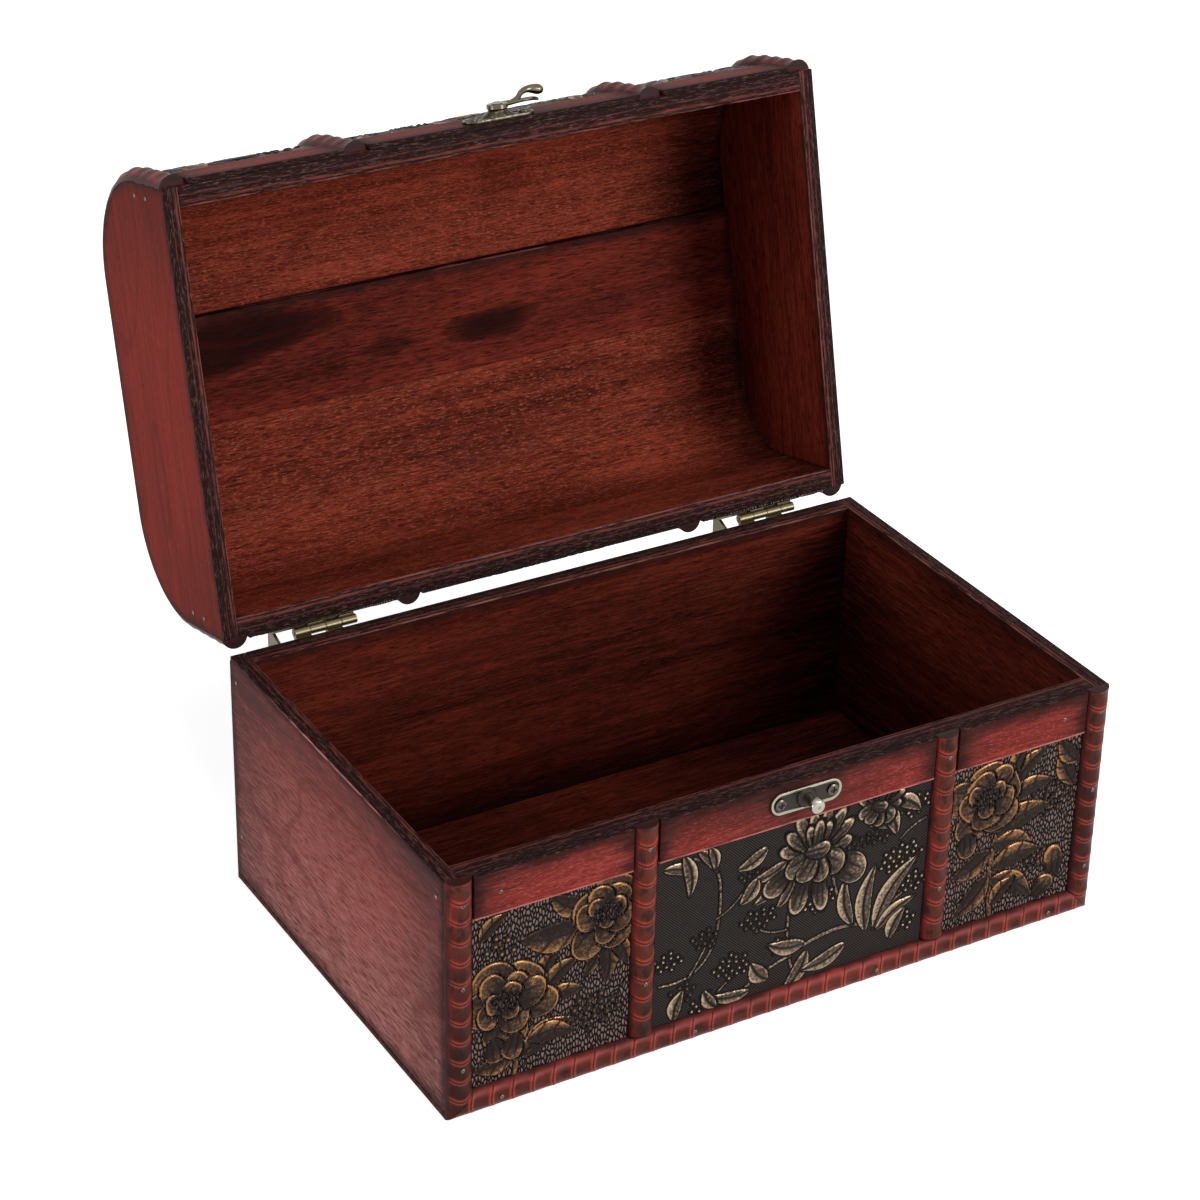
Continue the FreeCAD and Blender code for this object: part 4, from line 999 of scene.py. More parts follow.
def leaf(sheet, u, v, degrees, length, width, veins=3, shine=0.42, painted_lit_side=0.65):
    """Lens with a sunk midrib and side veins; the last argument makes one half brighter, as a painted highlight."""
    def shape(du, dv):
        along, across = turned(du, dv, degrees)
        share = np.clip(along / length, 0, 1)
        across = across - 0.10 * length * np.sin(math.pi * share)
        half = 0.5 * width * np.sin(math.pi * share ** 0.8) ** 0.8
        inside = np.where((along < 0) | (along > length), -OUTLINE, half - np.abs(across))
        rib, lip = hump(across, 0.34), hump(inside - LIP, LIP)
        vein = hump(veins * (along - 0.8 * np.abs(across)) / length % 1.0 - 0.5, 0.08) if veins else 0.0
        top = LEAF_RISE * (1 - 0.85 * rib) * (1 - 0.35 * vein) * (0.85 + 0.15 * lip)
        return inside, top, (shine + painted_lit_side * across / width + 0.3 * lip) * (1 - rib) * (1 - 0.6 * vein)
    sheet.press(u, v, length + 1, shape)


def blade(sheet, u, v, degrees, length, width):
    """Plain narrow leaf with only a midrib, rubbed nearly evenly."""
    leaf(sheet, u, v, degrees, length, width, veins=0, shine=0.55, painted_lit_side=0.35)


def petal(sheet, u, v, degrees, length, width, even=0.0):
    """Rounded cup with creases; an even rub fills its face, else only the lip is bright."""
    def shape(du, dv):
        along, across = turned(du, dv, degrees)
        share = np.clip(along / length, 0, 1)
        flare = 0.5 * width * (0.7 + 0.4 * share)
        from_middle = along - 0.52 * length
        wave = 1 + 0.05 * np.sin(3 * np.arctan2(across, from_middle) + degrees)
        inside = (1 - np.hypot(from_middle / (0.5 * length), across / flare) / wave) * 0.5 * min(length, width)
        lip = hump(inside - LIP, LIP) * share
        fold = np.abs(((across / flare * 1.5 + 0.25 * share + 10) % 1.0) - 0.5)
        crease = hump(fold * flare / 1.5, 0.36) * np.clip(2.0 * (0.9 - share), 0, 1)
        top = PETAL_RISE * (0.6 + 0.2 * share + 0.25 * lip - 0.45 * crease)
        # The lip is rubbed brightest, and one side of the petal is painted lighter, as painted light.
        rub = np.clip(1.3 * share - 0.35, even, 0.5) + 0.3 * across / width + (0.55 - 0.5 * even) * lip
        return inside, top, rub - 0.7 * crease
    sheet.press(u, v, length + 1, shape)


print("leaves rise", LEAF_RISE, "mm and petals up to", PETAL_RISE, "mm")

# %% [markdown]
# ## Berries and vines
# Berries are small domes packed on a spiral, each turned on from the last by the golden angle, as seeds grow. A
# vine is a round stem along a bent line, which is cut into short straight runs to find the nearest point.

# %% Berries and vines
BERRY_RISE, VINE_RISE, VINE_RUB = 0.55, 0.38, 0.58
VINE_POINTS = 22
GOLDEN_ANGLE = 137.508
BERRY_PITCH, WIDE, FLAT = 1.5, 1.25, 0.85


def berry(sheet, u, v, radius, rub):
    def shape(du, dv):
        inside = radius - np.hypot(du, dv)
        # The metal on the crest leaves a small bright top, which is also a painted highlight.
        return inside, BERRY_RISE, rub * np.clip(2.6 * inside / radius - 0.75, 0, 1)
    sheet.press(u, v, radius + 1, shape)


def berries(sheet, u, v, count, radius, rub):
    for number in range(count):
        reach = BERRY_PITCH * radius * math.sqrt(number)
        angle = math.radians(number * GOLDEN_ANGLE)
        berry(sheet, u + WIDE * reach * math.cos(angle), v + FLAT * reach * math.sin(angle), radius, rub)


def vine(sheet, start, bend, end, width):
    steps = np.linspace(0, 1, VINE_POINTS)[:, None]
    line = (1 - steps) ** 2 * np.array(start) + 2 * steps * (1 - steps) * np.array(bend) + steps ** 2 * np.array(end)
    middle = (line.min(0) + line.max(0)) / 2

    def shape(du, dv):
        nearest = np.full(du.shape, 1e6)
        for (u0, v0), (u1, v1) in zip(line[:-1] - middle, line[1:] - middle):
            way_u, way_v = u1 - u0, v1 - v0
            share = np.clip(((du - u0) * way_u + (dv - v0) * way_v) / (way_u ** 2 + way_v ** 2), 0, 1)
            nearest = np.minimum(nearest, np.hypot(du - u0 - share * way_u, dv - v0 - share * way_v))
        return width / 2 - nearest, VINE_RISE, np.full(du.shape, VINE_RUB)
    sheet.press(*middle, np.abs(line - middle).max() + 1, shape)


print("berries turn on by", GOLDEN_ANGLE, "degrees")

# %% [markdown]
# ## Flowers
# The peony is three rings of petals round a heart of beads, each ring laid over the one before, and no two petals
# quite alike. The bloom is a flower seen from its side: a fan of narrow petals over a cup of broad ones.

# %% Flowers
PEONY_RINGS = ((5, 1.0, 0.95, 0.0), (5, 0.74, 0.7, 30.0), (3, 0.46, 0.46, 10.0))
FAN = ((-74, 0.85, 0.36), (74, 0.85, 0.36), (-50, 1.0, 0.32), (52, 0.95, 0.32), (-30, 1.1, 0.3), (30, 1.05, 0.3),
       (-10, 1.1, 0.28), (10, 1.0, 0.28), (-20, 0.72, 0.26), (20, 0.7, 0.26), (0, 0.75, 0.26))
CUP = ((-118, 0.8, 0.6), (118, 0.7, 0.56), (-158, 0.66, 0.5), (158, 0.62, 0.5))
BLOOM_RUB = 0.48


def peony(sheet, u, v, size, degrees):
    chance = random.Random(round(size * 100 + degrees))
    for count, reach, wide, offset in PEONY_RINGS:
        for number in range(count):
            angle = degrees + offset + 360 * number / count + chance.uniform(-14, 14)
            long = size * reach * chance.uniform(0.74, 1.08)
            petal(sheet, u, v, angle, long, size * wide * chance.uniform(0.8, 1.1))
    berries(sheet, u, v, 11, size * 0.045, 0.3)


def bloom(sheet, u, v, size, degrees):
    for turn, reach, wide in FAN + CUP:
        petal(sheet, u, v, degrees + turn, size * reach, size * wide, BLOOM_RUB)
    petal(sheet, u - 0.25 * size, v + 0.08 * size, degrees - 84, 0.58 * size, 0.4 * size, BLOOM_RUB)


MOTIFS = {motif.__name__: motif for motif in (leaf, blade, petal, berries, vine, peony, bloom)}
print("motifs:", sorted(MOTIFS))

# %% [markdown]
# ## Layout of the fields
# The side fields are coarse and bold, with large peonies and heavy leaves. The middle field is finer: two blooms
# high up, long vines, narrow leaves and many clusters of berries. Places are in millimetres from the lower left
# corner of a field, and what is listed later lies over what is listed before.

# %% Layout of the fields
LEFT_FIELD = [
    ("berries", 40, 14, 16, 1.25, 0.6), ("berries", 9, 46, 7, 1.2, 0.7), ("leaf", 14, 8, 190, 14, 7),
    ("leaf", 16, 6, 24, 19, 9), ("leaf", 18, 11, -8, 16, 7), ("vine", (14, 16), (15, 8), (14, 0), 1.6),
    ("leaf", 22, 29, 62, 14, 5.5), ("leaf", 23, 26, 36, 15, 6), ("leaf", 23, 22, 4, 14, 6),
    ("leaf", 42, 38, -118, 13, 5.5), ("leaf", 43, 38, -88, 16, 6.5), ("leaf", 45, 38, -62, 13, 5.5),
    ("leaf", 36, 45, 176, 21, 10), ("leaf", 38, 50, 146, 16, 7), ("leaf", 2, 50, 38, 12, 5),
    ("peony", 44, 47, 15, 12), ("peony", 11, 27, 16, 40), ("petal", 6, 15, -70, 9, 8), ("petal", 14, 15, -100, 9, 8),
]
# Berries towards the right of the middle field are rubbed brighter, as a painted highlight.
CENTRE_FIELD = [
    ("vine", (2, 14), (24, 10), (22, 42), 0.9), ("vine", (22, 42), (22, 52), (12, 56), 0.9),
    ("vine", (21, 32), (27, 34), (31, 40), 0.7), ("vine", (12, 14), (16, 20), (18, 24), 0.7),
    ("vine", (48, 34), (44, 16), (50, 2), 1.0), ("vine", (46, 20), (38, 20), (34, 26), 0.7),
    ("vine", (48, 10), (38, 8), (30, 2), 1.0), ("vine", (20, 2), (24, 8), (30, 10), 0.7),
    ("vine", (84, 8), (70, 18), (52, 12), 1.3), ("vine", (78, 10), (84, 20), (94, 22), 0.9),
    ("vine", (86, 40), (90, 44), (95, 45), 0.7), ("vine", (70, 14), (64, 24), (62, 34), 1.0),
    ("berries", 4, 22, 14, 0.78, 0.9), ("berries", 17, 26, 12, 0.78, 0.6), ("berries", 33, 43, 12, 0.78, 0.6),
    ("berries", 36, 27, 18, 0.8, 0.7), ("berries", 57, 27, 18, 0.8, 1.0), ("berries", 10, 9, 12, 0.78, 0.6),
    ("berries", 27, 13, 20, 0.8, 0.8), ("berries", 44, 15, 10, 0.78, 0.8), ("berries", 18, 3, 14, 0.8, 0.9),
    ("berries", 87, 33, 26, 0.84, 1.0), ("berries", 90, 51, 18, 0.8, 1.0), ("berries", 78, 44, 14, 0.78, 0.6),
    ("berries", 91, 23, 14, 0.8, 1.0), ("berries", 89, 9, 12, 0.78, 1.0), ("berries", 70, 43, 10, 0.78, 0.5),
    ("blade", 2, 55, -24, 13, 4.2), ("blade", 9, 58, -82, 16, 4.6), ("blade", 14, 58, -56, 12, 4.0),
    ("blade", 18, 58, -78, 9, 3.6), ("blade", 45, 45, 196, 13, 4.4), ("blade", 45, 42, 220, 15, 5.0),
    ("blade", 48, 40, 242, 13, 4.6), ("blade", 38, 52, 205, 12, 5.0), ("blade", 35, 42, 232, 10, 5.4),
    ("blade", 75, 10, 84, 24, 6.0), ("blade", 78, 10, 56, 27, 6.4), ("blade", 70, 14, 100, 19, 5.0),
    ("blade", 79, 9, 30, 17, 4.4), ("blade", 53, 13, 165, 14, 5.6), ("blade", 54, 10, 236, 16, 5.6),
    ("blade", 68, 8, 196, 17, 5.8), ("blade", 84, 4, 62, 12, 5.0), ("blade", 40, 4, 128, 10, 6.0),
    ("blade", 34, 2, 170, 15, 4.4), ("blade", 7, 0, 72, 11, 5.0), ("blade", 22, 0, 120, 9, 4.4),
    ("petal", 60, 41, -34, 16, 11), ("petal", 52, 40, -102, 16, 7), ("petal", 56, 40, -82, 17, 6),
    ("petal", 47, 42, -140, 12, 8), ("blade", 73, 50, -24, 14, 6), ("blade", 78, 54, -62, 14, 5.4),
    ("blade", 83, 55, -34, 12, 5.4), ("bloom", 55, 44, 15.5, 84), ("bloom", 77, 54, 10, 72),
]
RIGHT_FIELD = [
    ("berries", 38, 38, 16, 1.2, 0.6), ("berries", 35, 17, 8, 1.15, 0.7), ("leaf", 47, 40, 112, 17, 6.5),
    ("leaf", 48, 48, 128, 14, 6), ("leaf", 22, 42, 8, 17, 6.5), ("leaf", 23, 47, 40, 16, 6.5),
    ("leaf", 22, 50, 66, 12, 5.5), ("vine", (19, 33), (15, 20), (18, 0), 1.8), ("leaf", 18, 30, 16, 21, 9),
    ("leaf", 17, 27, -20, 17, 8), ("leaf", 16, 25, 204, 16, 8), ("leaf", 17, 18, 6, 19, 8),
    ("leaf", 17, 14, -34, 20, 8), ("leaf", 16, 16, 224, 18, 8), ("leaf", 18, 4, 44, 12, 6),
    ("petal", 42, 6, 95, 13, 8), ("petal", 34, 2, 40, 9, 8), ("peony", 13, 45, 16, 18), ("petal", 6, 34, -80, 9, 8),
]
LAYOUTS = {"left": LEFT_FIELD, "centre": CENTRE_FIELD, "right": RIGHT_FIELD}
print("motifs in each field:", {field: len(layout) for field, layout in LAYOUTS.items()})

# %% [markdown]
# ## Filling a sheet
# A front field shows its layout once. The long skins of the lid repeat it, turned over every second time, so that
# the repeat is hard to see, and press flatter towards the back rim, where the skin runs out under the hinges.

# %% Filling a sheet
FIELD_HEIGHT = 58.6
FLAT_END, FLAT_HEIGHT = 14.0, 0.25


def mirrored(width, kind, *numbers):
    """The same motif turned over, left to right."""
    if kind == "vine":
        return (kind, *[(width - u, v) for u, v in numbers[:3]], numbers[3])
    if kind == "berries":
        return (kind, width - numbers[0], *numbers[1:])
    if kind in ("peony", "bloom"):
        return (kind, width - numbers[0], *numbers[1:3], 180 - numbers[3])
    return (kind, width - numbers[0], numbers[1], 180 - numbers[2], *numbers[3:])


def moved_along(rise, kind, *numbers):
    """The same motif further along the sheet."""
    if kind == "vine":
        return (kind, *[(u, v + rise) for u, v in numbers[:3]], numbers[3])
    return (kind, numbers[0], numbers[1] + rise, *numbers[2:])


def pressed_field(field, length, pitch):
    """Sheet with a field's layout, repeated until it fills the length; a long one ends flat."""
    start, end = FIELDS[field]
    sheet = PressedSheet(end - start, length, pitch)
    for repeat in range(math.ceil(length / FIELD_HEIGHT)):
        for motif in LAYOUTS[field]:
            if repeat % 2:
                motif = mirrored(sheet.width, *motif)
            kind, *numbers = moved_along(repeat * FIELD_HEIGHT, *motif)
            MOTIFS[kind](sheet, *numbers)
    if length > FIELD_HEIGHT:
        sheet.maps["height"] *= np.clip((length - sheet.v) / FLAT_END, FLAT_HEIGHT, 1.0)[:, None]
    return sheet


print("a layout fills", FIELD_HEIGHT, "mm")

# %% [markdown]
# ## Rubbed metal
# The raised parts were painted with metal and wiped, so the metal is left where the cloth pressed hardest. How
# much is left is a group, because both kinds of leatherette use it: the stored rub, broken up with a fine patina.

# %% Rubbed metal
rubbed = Shared("rubbed_metal", {"Place": VECTOR, "Rub": FLOAT, "Raised": FLOAT}, ("Metal", "Raised"))
patina = rubbed.noise(rubbed.given["Place"], (0.9, 0.9, 0.9), 6.0, 0.8)
uneven = rubbed.times(rubbed.less(patina, 0.54), 1.5)
rubbed.put("Metal", rubbed.fade(rubbed.plus(rubbed.given["Rub"], uneven), 0.2, 0.82))
rubbed.put("Raised", rubbed.fade(rubbed.given["Raised"], 0.05, 0.35))

# %% [markdown]
# ## Leatherette finishes
# The side fields have a pebbled brown-black ground, drawn upright like bark, under copper; the middle field has
# a fine linen weave under pale bronze. The tops of the pebbles and threads carry a painted highlight. Both are one
# recipe with other colours and another ground. The grooves round the motifs are inked nearly black.

# %% Leatherette finishes
Leather = namedtuple("Leather", "groove ridge hollow middle bright")
COPPER = Leather(srgb(4, 3, 3), srgb(125, 104, 97), srgb(38, 30, 27), srgb(88, 65, 48), srgb(172, 122, 78))
BRONZE = Leather(srgb(8, 7, 7), srgb(64, 57, 54), srgb(40, 34, 31), srgb(104, 88, 74), srgb(192, 166, 136))
INK = srgb(8, 6, 6)
THREAD = 6.6


def pebbled(skin, place):
    """Upright pebbles with grooves between them."""
    sockets = {"Vector": skin.stretched(place, (1.05, 0.46, 1.0)), "Scale": 1.0}
    cells = skin.node("TexVoronoi", sockets, voronoi_dimensions="2D", feature="DISTANCE_TO_EDGE")
    return skin.fade(cells["Distance"], 0.08, 0.34)


def woven(skin, place):
    """Threads that cross each other."""
    parts = skin.node("SeparateXYZ", {0: place})
    threads = [skin.calc("SINE", skin.times(parts[part], THREAD)) for part in (0, 1)]
    return skin.fade(skin.times(*threads), -0.6, 0.9)


def leatherette(name, colours, roughness, ground, relief):
    skin = Finish(name, gloss=0.04)
    place = skin.stored("place", "Vector")
    grain = ground(skin, place)
    wiped = skin.group(rubbed, Place=place, Rub=skin.stored("rub"), Raised=skin.stored("raised"))
    metal, raised = wiped["Metal"], wiped["Raised"]
    painted = skin.ramp(metal, (0.0, colours.hollow), (0.55, colours.middle), (1.0, colours.bright))
    skin.put("Base Color", skin.coats(skin.blend(grain, colours.groove, colours.ridge), (raised, painted),
                                      (skin.times(skin.stored("ink"), 0.9), INK)))
    skin.put("Metallic", skin.times(skin.times(metal, raised), 0.3))
    skin.put("Roughness", skin.less(roughness, skin.times(metal, 0.1)))
    skin.bump(skin.times(grain, skin.less(1.0, raised)), relief)
    return skin.material


brown_leather = leatherette("brown_leatherette", COPPER, 0.36, pebbled, 0.00026)
black_leather = leatherette("black_leatherette", BRONZE, 0.4, woven, 0.00008)
leather_of = {"left": brown_leather, "centre": black_leather, "right": brown_leather}
print("leatherette:", {field: material.name for field, material in leather_of.items()})

# %% [markdown]
# ## Pressing the sheets
# A grid takes the heights of the map. Its long sides are extruded back to the board and bridged, and the two
# ends filled, so the sheet is a closed solid. On the front it is flat; on the lid it is wrapped over the barrel.

# %% Mesh of a sheet
GROUND_HEIGHT = 0.62


def sheet_mesh(sheet):
    """Closed sheet along Z, X across it and Y out, with the stored rub, ink and place."""
    bm = bmesh.new()
    bmesh.ops.create_grid(bm, x_segments=sheet.columns, y_segments=sheet.rows, size=0.5)
    kept = [(bm.verts.layers.float.new(name), sheet.maps[name]) for name in ("raised", "rub", "ink")]
    place_layer = bm.verts.layers.float_vector.new("place")
    sides = {0: [], sheet.columns: []}
    for vert in bm.verts:
        column = round((vert.co.x + 0.5) * sheet.columns)
        row = round((vert.co.y + 0.5) * sheet.rows)
        vert.co = Vector((sheet.u[column], GROUND_HEIGHT + sheet.maps["height"][row, column], sheet.v[row]))
        for layer, values in kept:
            vert[layer] = values[row, column]
        vert[place_layer] = Vector((sheet.u[column], sheet.v[row], 0.0))
        if column in sides:
            sides[column].append(vert)
    rails = []
    for verts in map(set, sides.values()):
        edges = [edge for edge in bm.edges if edge.verts[0] in verts and edge.verts[1] in verts]
        grown = bmesh.ops.extrude_edge_only(bm, edges=edges)["geom"]
        for item in grown:
            if isinstance(item, bmesh.types.BMVert):
                item.co.y = 0.0
        rails += [item for item in grown if isinstance(item, bmesh.types.BMEdge) and item.is_boundary
                  and all(vert.co.y == 0.0 for vert in item.verts)]
    bmesh.ops.bridge_loops(bm, edges=rails)
    close_holes(bm)
    return bm


print("ground of the sheets:", GROUND_HEIGHT, "mm over the board")

# %% Pressed sheets
FRONT_PITCH, LID_PITCH = 0.3, 0.5
for field, (start, end) in FIELDS.items():
    bm = sheet_mesh(pressed_field(field, FIELD_HEIGHT, FRONT_PITCH))
    lay(bm, lambda co: (start + co.x, FRONT - co.y, ROUND_WIDTH + co.z))
    finish_piece(bm, f"pressed_front_{field}", leather_of[field], f"front_leather_{field}")

    bm = sheet_mesh(pressed_field(field, LID_LINE - STRIP_HEIGHT, LID_PITCH))
    lay(bm, lambda co: (start + co.x, *lid_line(STRIP_HEIGHT + co.z, co.y)))
    finish_piece(bm, f"pressed_lid_{field}", leather_of[field], f"lid_leather_{field}")

# %% [markdown]
# ## Metal
# The latch is antique bronze: nearly black in its hollows, with a bright worn rim. The hinges are pale brass
# and the brads dull steel. Wear sits where a shape turns outward, so each vertex keeps how sharply it does, and
# a group that all the metals share breaks it up with a fine mottle.

# %% Metal finishes
worn = Shared("metal_wear", {"Wear": FLOAT, "Place": VECTOR}, ("Mask", "Mottle"))
mottle = worn.noise(worn.given["Place"], (900.0, 900.0, 900.0), 3.0)
uneven = worn.times(worn.less(mottle, 0.5), 0.5)
worn.put("Mask", worn.fade(worn.plus(worn.given["Wear"], uneven), 0.12, 0.6))
worn.put("Mottle", mottle)


def old_metal(name, dark, bright, roughness):
    metal = Finish(name, metallic=1.0)
    wear = metal.group(worn, Wear=metal.stored("wear"), Place=metal.node("TexCoord")["Object"])
    metal.put("Base Color", metal.blend(wear["Mask"], dark, bright))
    metal.put("Roughness", metal.less(roughness, metal.times(wear["Mask"], 0.15)))
    metal.bump(wear["Mottle"], 0.00004, 0.5)
    return metal.material


antique_bronze = old_metal("antique_bronze", srgb(56, 51, 46), srgb(158, 151, 136), 0.42)
golden_bronze = old_metal("golden_bronze", srgb(34, 31, 27), srgb(102, 94, 77), 0.4)
bright_pewter = old_metal("bright_pewter", srgb(84, 80, 74), srgb(164, 159, 150), 0.38)
pale_brass = old_metal("pale_brass", srgb(104, 94, 72), srgb(172, 159, 126), 0.36)
dark_bronze = old_metal("dark_bronze", srgb(26, 24, 22), srgb(86, 81, 75), 0.44)
brad_steel = old_metal("brad_steel", srgb(38, 30, 28), srgb(112, 99, 90), 0.4)


WORN_TURN = 0.6


def store_wear(bm, base=0.0, most=1.0):
    """Keeps how sharply the shape turns outward at each vertex, between a base and a most."""
    bmesh.ops.recalc_face_normals(bm, faces=bm.faces)
    layer = bm.verts.layers.float.new("wear")
    for vert in bm.verts:
        angles = [edge.calc_face_angle_signed(0.0) for edge in vert.link_edges if len(edge.link_faces) == 2]
        vert[layer] = min(most, max(base, max(angles, default=0.0) / WORN_TURN))


# %% [markdown]
# ## Turned pieces
# Pegs, rivets, bosses, brads and screw heads are turned on a lathe: a profile of radius and height is spun
# round its axis. Here the axis points out of the front of the chest. A turned shape is then copied to its places.

# %% Lathe
TURNED_SIDES, FINE_SIDES = 32, 40
UNMOVED = Matrix.Identity(4)


def lathe(profile, sides=TURNED_SIDES, closed=False):
    """Spins a profile of (radius, out) round the Y axis; out points to -Y."""
    bm = bmesh.new()
    verts = [bm.verts.new((radius, -out, 0.0)) for radius, out in profile]
    pairs = list(zip(verts[:-1], verts[1:])) + ([(verts[-1], verts[0])] if closed else [])
    edges = [bm.edges.new(pair) for pair in pairs]
    bmesh.ops.spin(bm, geom=verts + edges, axis=(0.0, 1.0, 0.0), cent=(0.0, 0.0, 0.0), angle=2 * math.pi,
                   steps=sides, use_merge=True)
    bmesh.ops.remove_doubles(bm, verts=bm.verts, dist=1e-4)
    close_holes(bm)
    bmesh.ops.recalc_face_normals(bm, faces=bm.faces)
    return bm


def join(bm, other, matrix=UNMOVED):
    """Adds another bmesh to this one, moved by a matrix."""
    mesh = bpy.data.meshes.new("joined")
    bmesh.ops.transform(other, matrix=matrix, verts=other.verts)
    other.to_mesh(mesh)
    bm.from_mesh(mesh)
    bpy.data.meshes.remove(mesh)
    other.free()


def copied(bm, places, turn=UNMOVED):
    """One bmesh with a copy of a shape at each place."""
    made = bmesh.new()
    for place in places:
        join(made, bm.copy(), Matrix.Translation(place) @ turn)
    bm.free()
    return made


print("turned pieces have", TURNED_SIDES, "or", FINE_SIDES, "sides")

# %% [markdown]
# ## Brads
# Small round nail heads hold the mouldings, the strips and the ends. One head is turned, and copied to each
# place, sunk a little where it sits in a scoop of a moulding.

# %% One brad
BRAD_PROFILE, BRAD_SIDES = [(0.5, -1.2), (0.5, -0.05), (0.68, 0.0), (0.66, 0.16), (0.42, 0.3), (0.0, 0.35)], 12


def brads(places, turn=UNMOVED):
    head = lathe(BRAD_PROFILE, BRAD_SIDES)
    store_wear(head, 0.0, 0.5)
    return copied(head, [Vector(place) for place in places], turn)


print("brad heads:", 2 * max(radius for radius, out in BRAD_PROFILE), "mm wide")

# %% Brads in their places
HIGH, MIDDLE, LOW, DIVIDER_LOW = 74.5, 46.25, 18.0, 27.5
LID_END_HEIGHTS, HOOP_HEIGHT = (RIM + 14.2, RIM + 23.0), RIM + 9.0
SIDE_BRADS, END_BRADS = 98.0, 66.3
SCOOP_SINK = 0.35
FRONT_ROUND, BACK_ROUND = FRONT - ROUND_RISE + SCOOP_SINK, BACK + ROUND_RISE - SCOOP_SINK
TOP_ROUND = RIM + LID_HEIGHT + ROUND_RISE - SCOOP_SINK
TO_BACK = Matrix.Rotation(math.pi, 4, "Z")
TO_LEFT, TO_RIGHT = Matrix.Rotation(-math.pi / 2, 4, "Z"), Matrix.Rotation(math.pi / 2, 4, "Z")
TO_TOP = Matrix.Rotation(-math.pi / 2, 4, "X")
corners = [ROUND_CENTRES[end] for end in ("left_end", "right_end")]
dividers = [ROUND_CENTRES[end] for end in ("left_middle", "right_middle")]
places = [(x, FRONT_ROUND, z) for x in corners for z in (HIGH, MIDDLE, LOW)]
places += [(x, FRONT_ROUND, z) for x in dividers for z in (HIGH, DIVIDER_LOW)]
places += [(-SIDE_BRADS + 2 * SIDE_BRADS * number / 3, FRONT_ROUND, HALF) for number in range(4)]
places += [(x, FRONT - STRIP, HIGH) for x in (-SIDE_BRADS, SIDE_BRADS)]
finish_piece(brads(places), "heads_front", brad_steel, "front_brads")
places = [(x, BACK_ROUND, z) for x in corners for z in (HIGH, LOW)]
finish_piece(brads(places, TO_BACK), "heads_back", brad_steel, "back_brads")

for node, heights in (("base_end_brads", (HIGH, LOW)), ("lid_end_brads", LID_END_HEIGHTS)):
    bm = bmesh.new()
    for x, turn in ((LEFT, TO_LEFT), (RIGHT, TO_RIGHT)):
        join(bm, brads([(x, y, z) for y in (-END_BRADS, END_BRADS) for z in heights], turn))
    finish_piece(bm, f"heads_{node}", brad_steel, node)

bm = bmesh.new()
for y, z, turn in ((FRONT_ROUND, HOOP_HEIGHT, UNMOVED), (BACK_ROUND, HOOP_HEIGHT, TO_BACK), (0.0, TOP_ROUND, TO_TOP)):
    join(bm, brads([(x, y, z) for x in ROUND_CENTRES.values()], turn))
finish_piece(bm, "heads_hoops", brad_steel, "hoop_brads")

# %% [markdown]
# ## Screws
# The screw heads are low domes with a cross slot. The slot is cut with a Boolean modifier, because it is the
# one shape here that is easier to take away than to build.

# %% One screw
SCREW_PROFILE = [(0.0, -0.4), (1.2, -0.4), (1.85, 0.0), (1.8, 0.22), (1.35, 0.5), (0.7, 0.6), (0.0, 0.6)]
SLOTS, SLOT_MIDDLE = ((2.3, 1.1, 0.5), (0.5, 1.1, 2.3)), -0.65


def shown_mesh(item):
    """Bmesh of an object as its modifiers and bevel leave it; the object itself goes."""
    mesh = bpy.data.meshes.new_from_object(item.evaluated_get(bpy.context.evaluated_depsgraph_get()))
    bm = bmesh.new()
    bm.from_mesh(mesh)
    bpy.data.objects.remove(item)
    return bm


def cross_screw():
    """Screw head on the plane y = 0, facing the front, with its cross slot."""
    slots = bmesh.new()
    for size in SLOTS:
        join(slots, block(Vector(size) * -0.5, Vector(size) * 0.5, 0.05), Matrix.Translation((0.0, SLOT_MIDDLE, 0.0)))
    cutter = plain_object(slots, "slots")
    head = plain_object(lathe(SCREW_PROFILE), "head")
    cut = head.modifiers.new("slot", "BOOLEAN")
    cut.operation = "DIFFERENCE"
    cut.solver = "EXACT"
    cut.use_self = True
    cut.object = cutter
    bm = shown_mesh(head)
    bpy.data.objects.remove(cutter)
    store_wear(bm)
    return bm


print("screw heads:", 2 * max(radius for radius, out in SCREW_PROFILE), "mm wide")

# %% Screws in their places
STRIP_FACE = FRONT - STRIP
PLATE_THICK = 1.0
PLATE_FACE = STRIP_FACE - PLATE_THICK
PIVOT = Vector((0.8, 0.0, 86.9))
HOOK_REACH, HOOK_TURN = 11.5, math.radians(78)
PEG = PIVOT + Vector((HOOK_REACH * math.cos(HOOK_TURN), 0.0, -HOOK_REACH * math.sin(HOOK_TURN)))
PLATE_SCREWS, LEAF_SCREWS = 9.1, 6.0
HINGE_CENTRES = (-81.2, 82.6)
HINGE_HEADS = {"hinge_base_screws": (BACK + 0.9, 74.3), "hinge_lid_screws": (BACK + 1.9, 90.3)}
for node, centre in (("latch_staple_screws", PEG), ("latch_plate_screws", PIVOT)):
    places = [Vector((centre.x + way * PLATE_SCREWS, PLATE_FACE, centre.z)) for way in (-1, 1)]
    finish_piece(copied(cross_screw(), places), f"heads_{node}", dark_bronze, node)
for node, (y, z) in HINGE_HEADS.items():
    places = [Vector((x + way * LEAF_SCREWS, y, z)) for x in HINGE_CENTRES for way in (-1, 1)]
    finish_piece(copied(cross_screw(), places, TO_BACK), f"heads_{node}", pale_brass, node)

# %% [markdown]
# ## Latch plates and peg
# Both plates are long ovals with a raised rim. A circle pulled apart at its middle gives the oval; it is
# extruded to the plate's thickness, and two insets of its front face leave the rim standing. The staple carries
# a peg, the lid plate a conical boss for the hook.

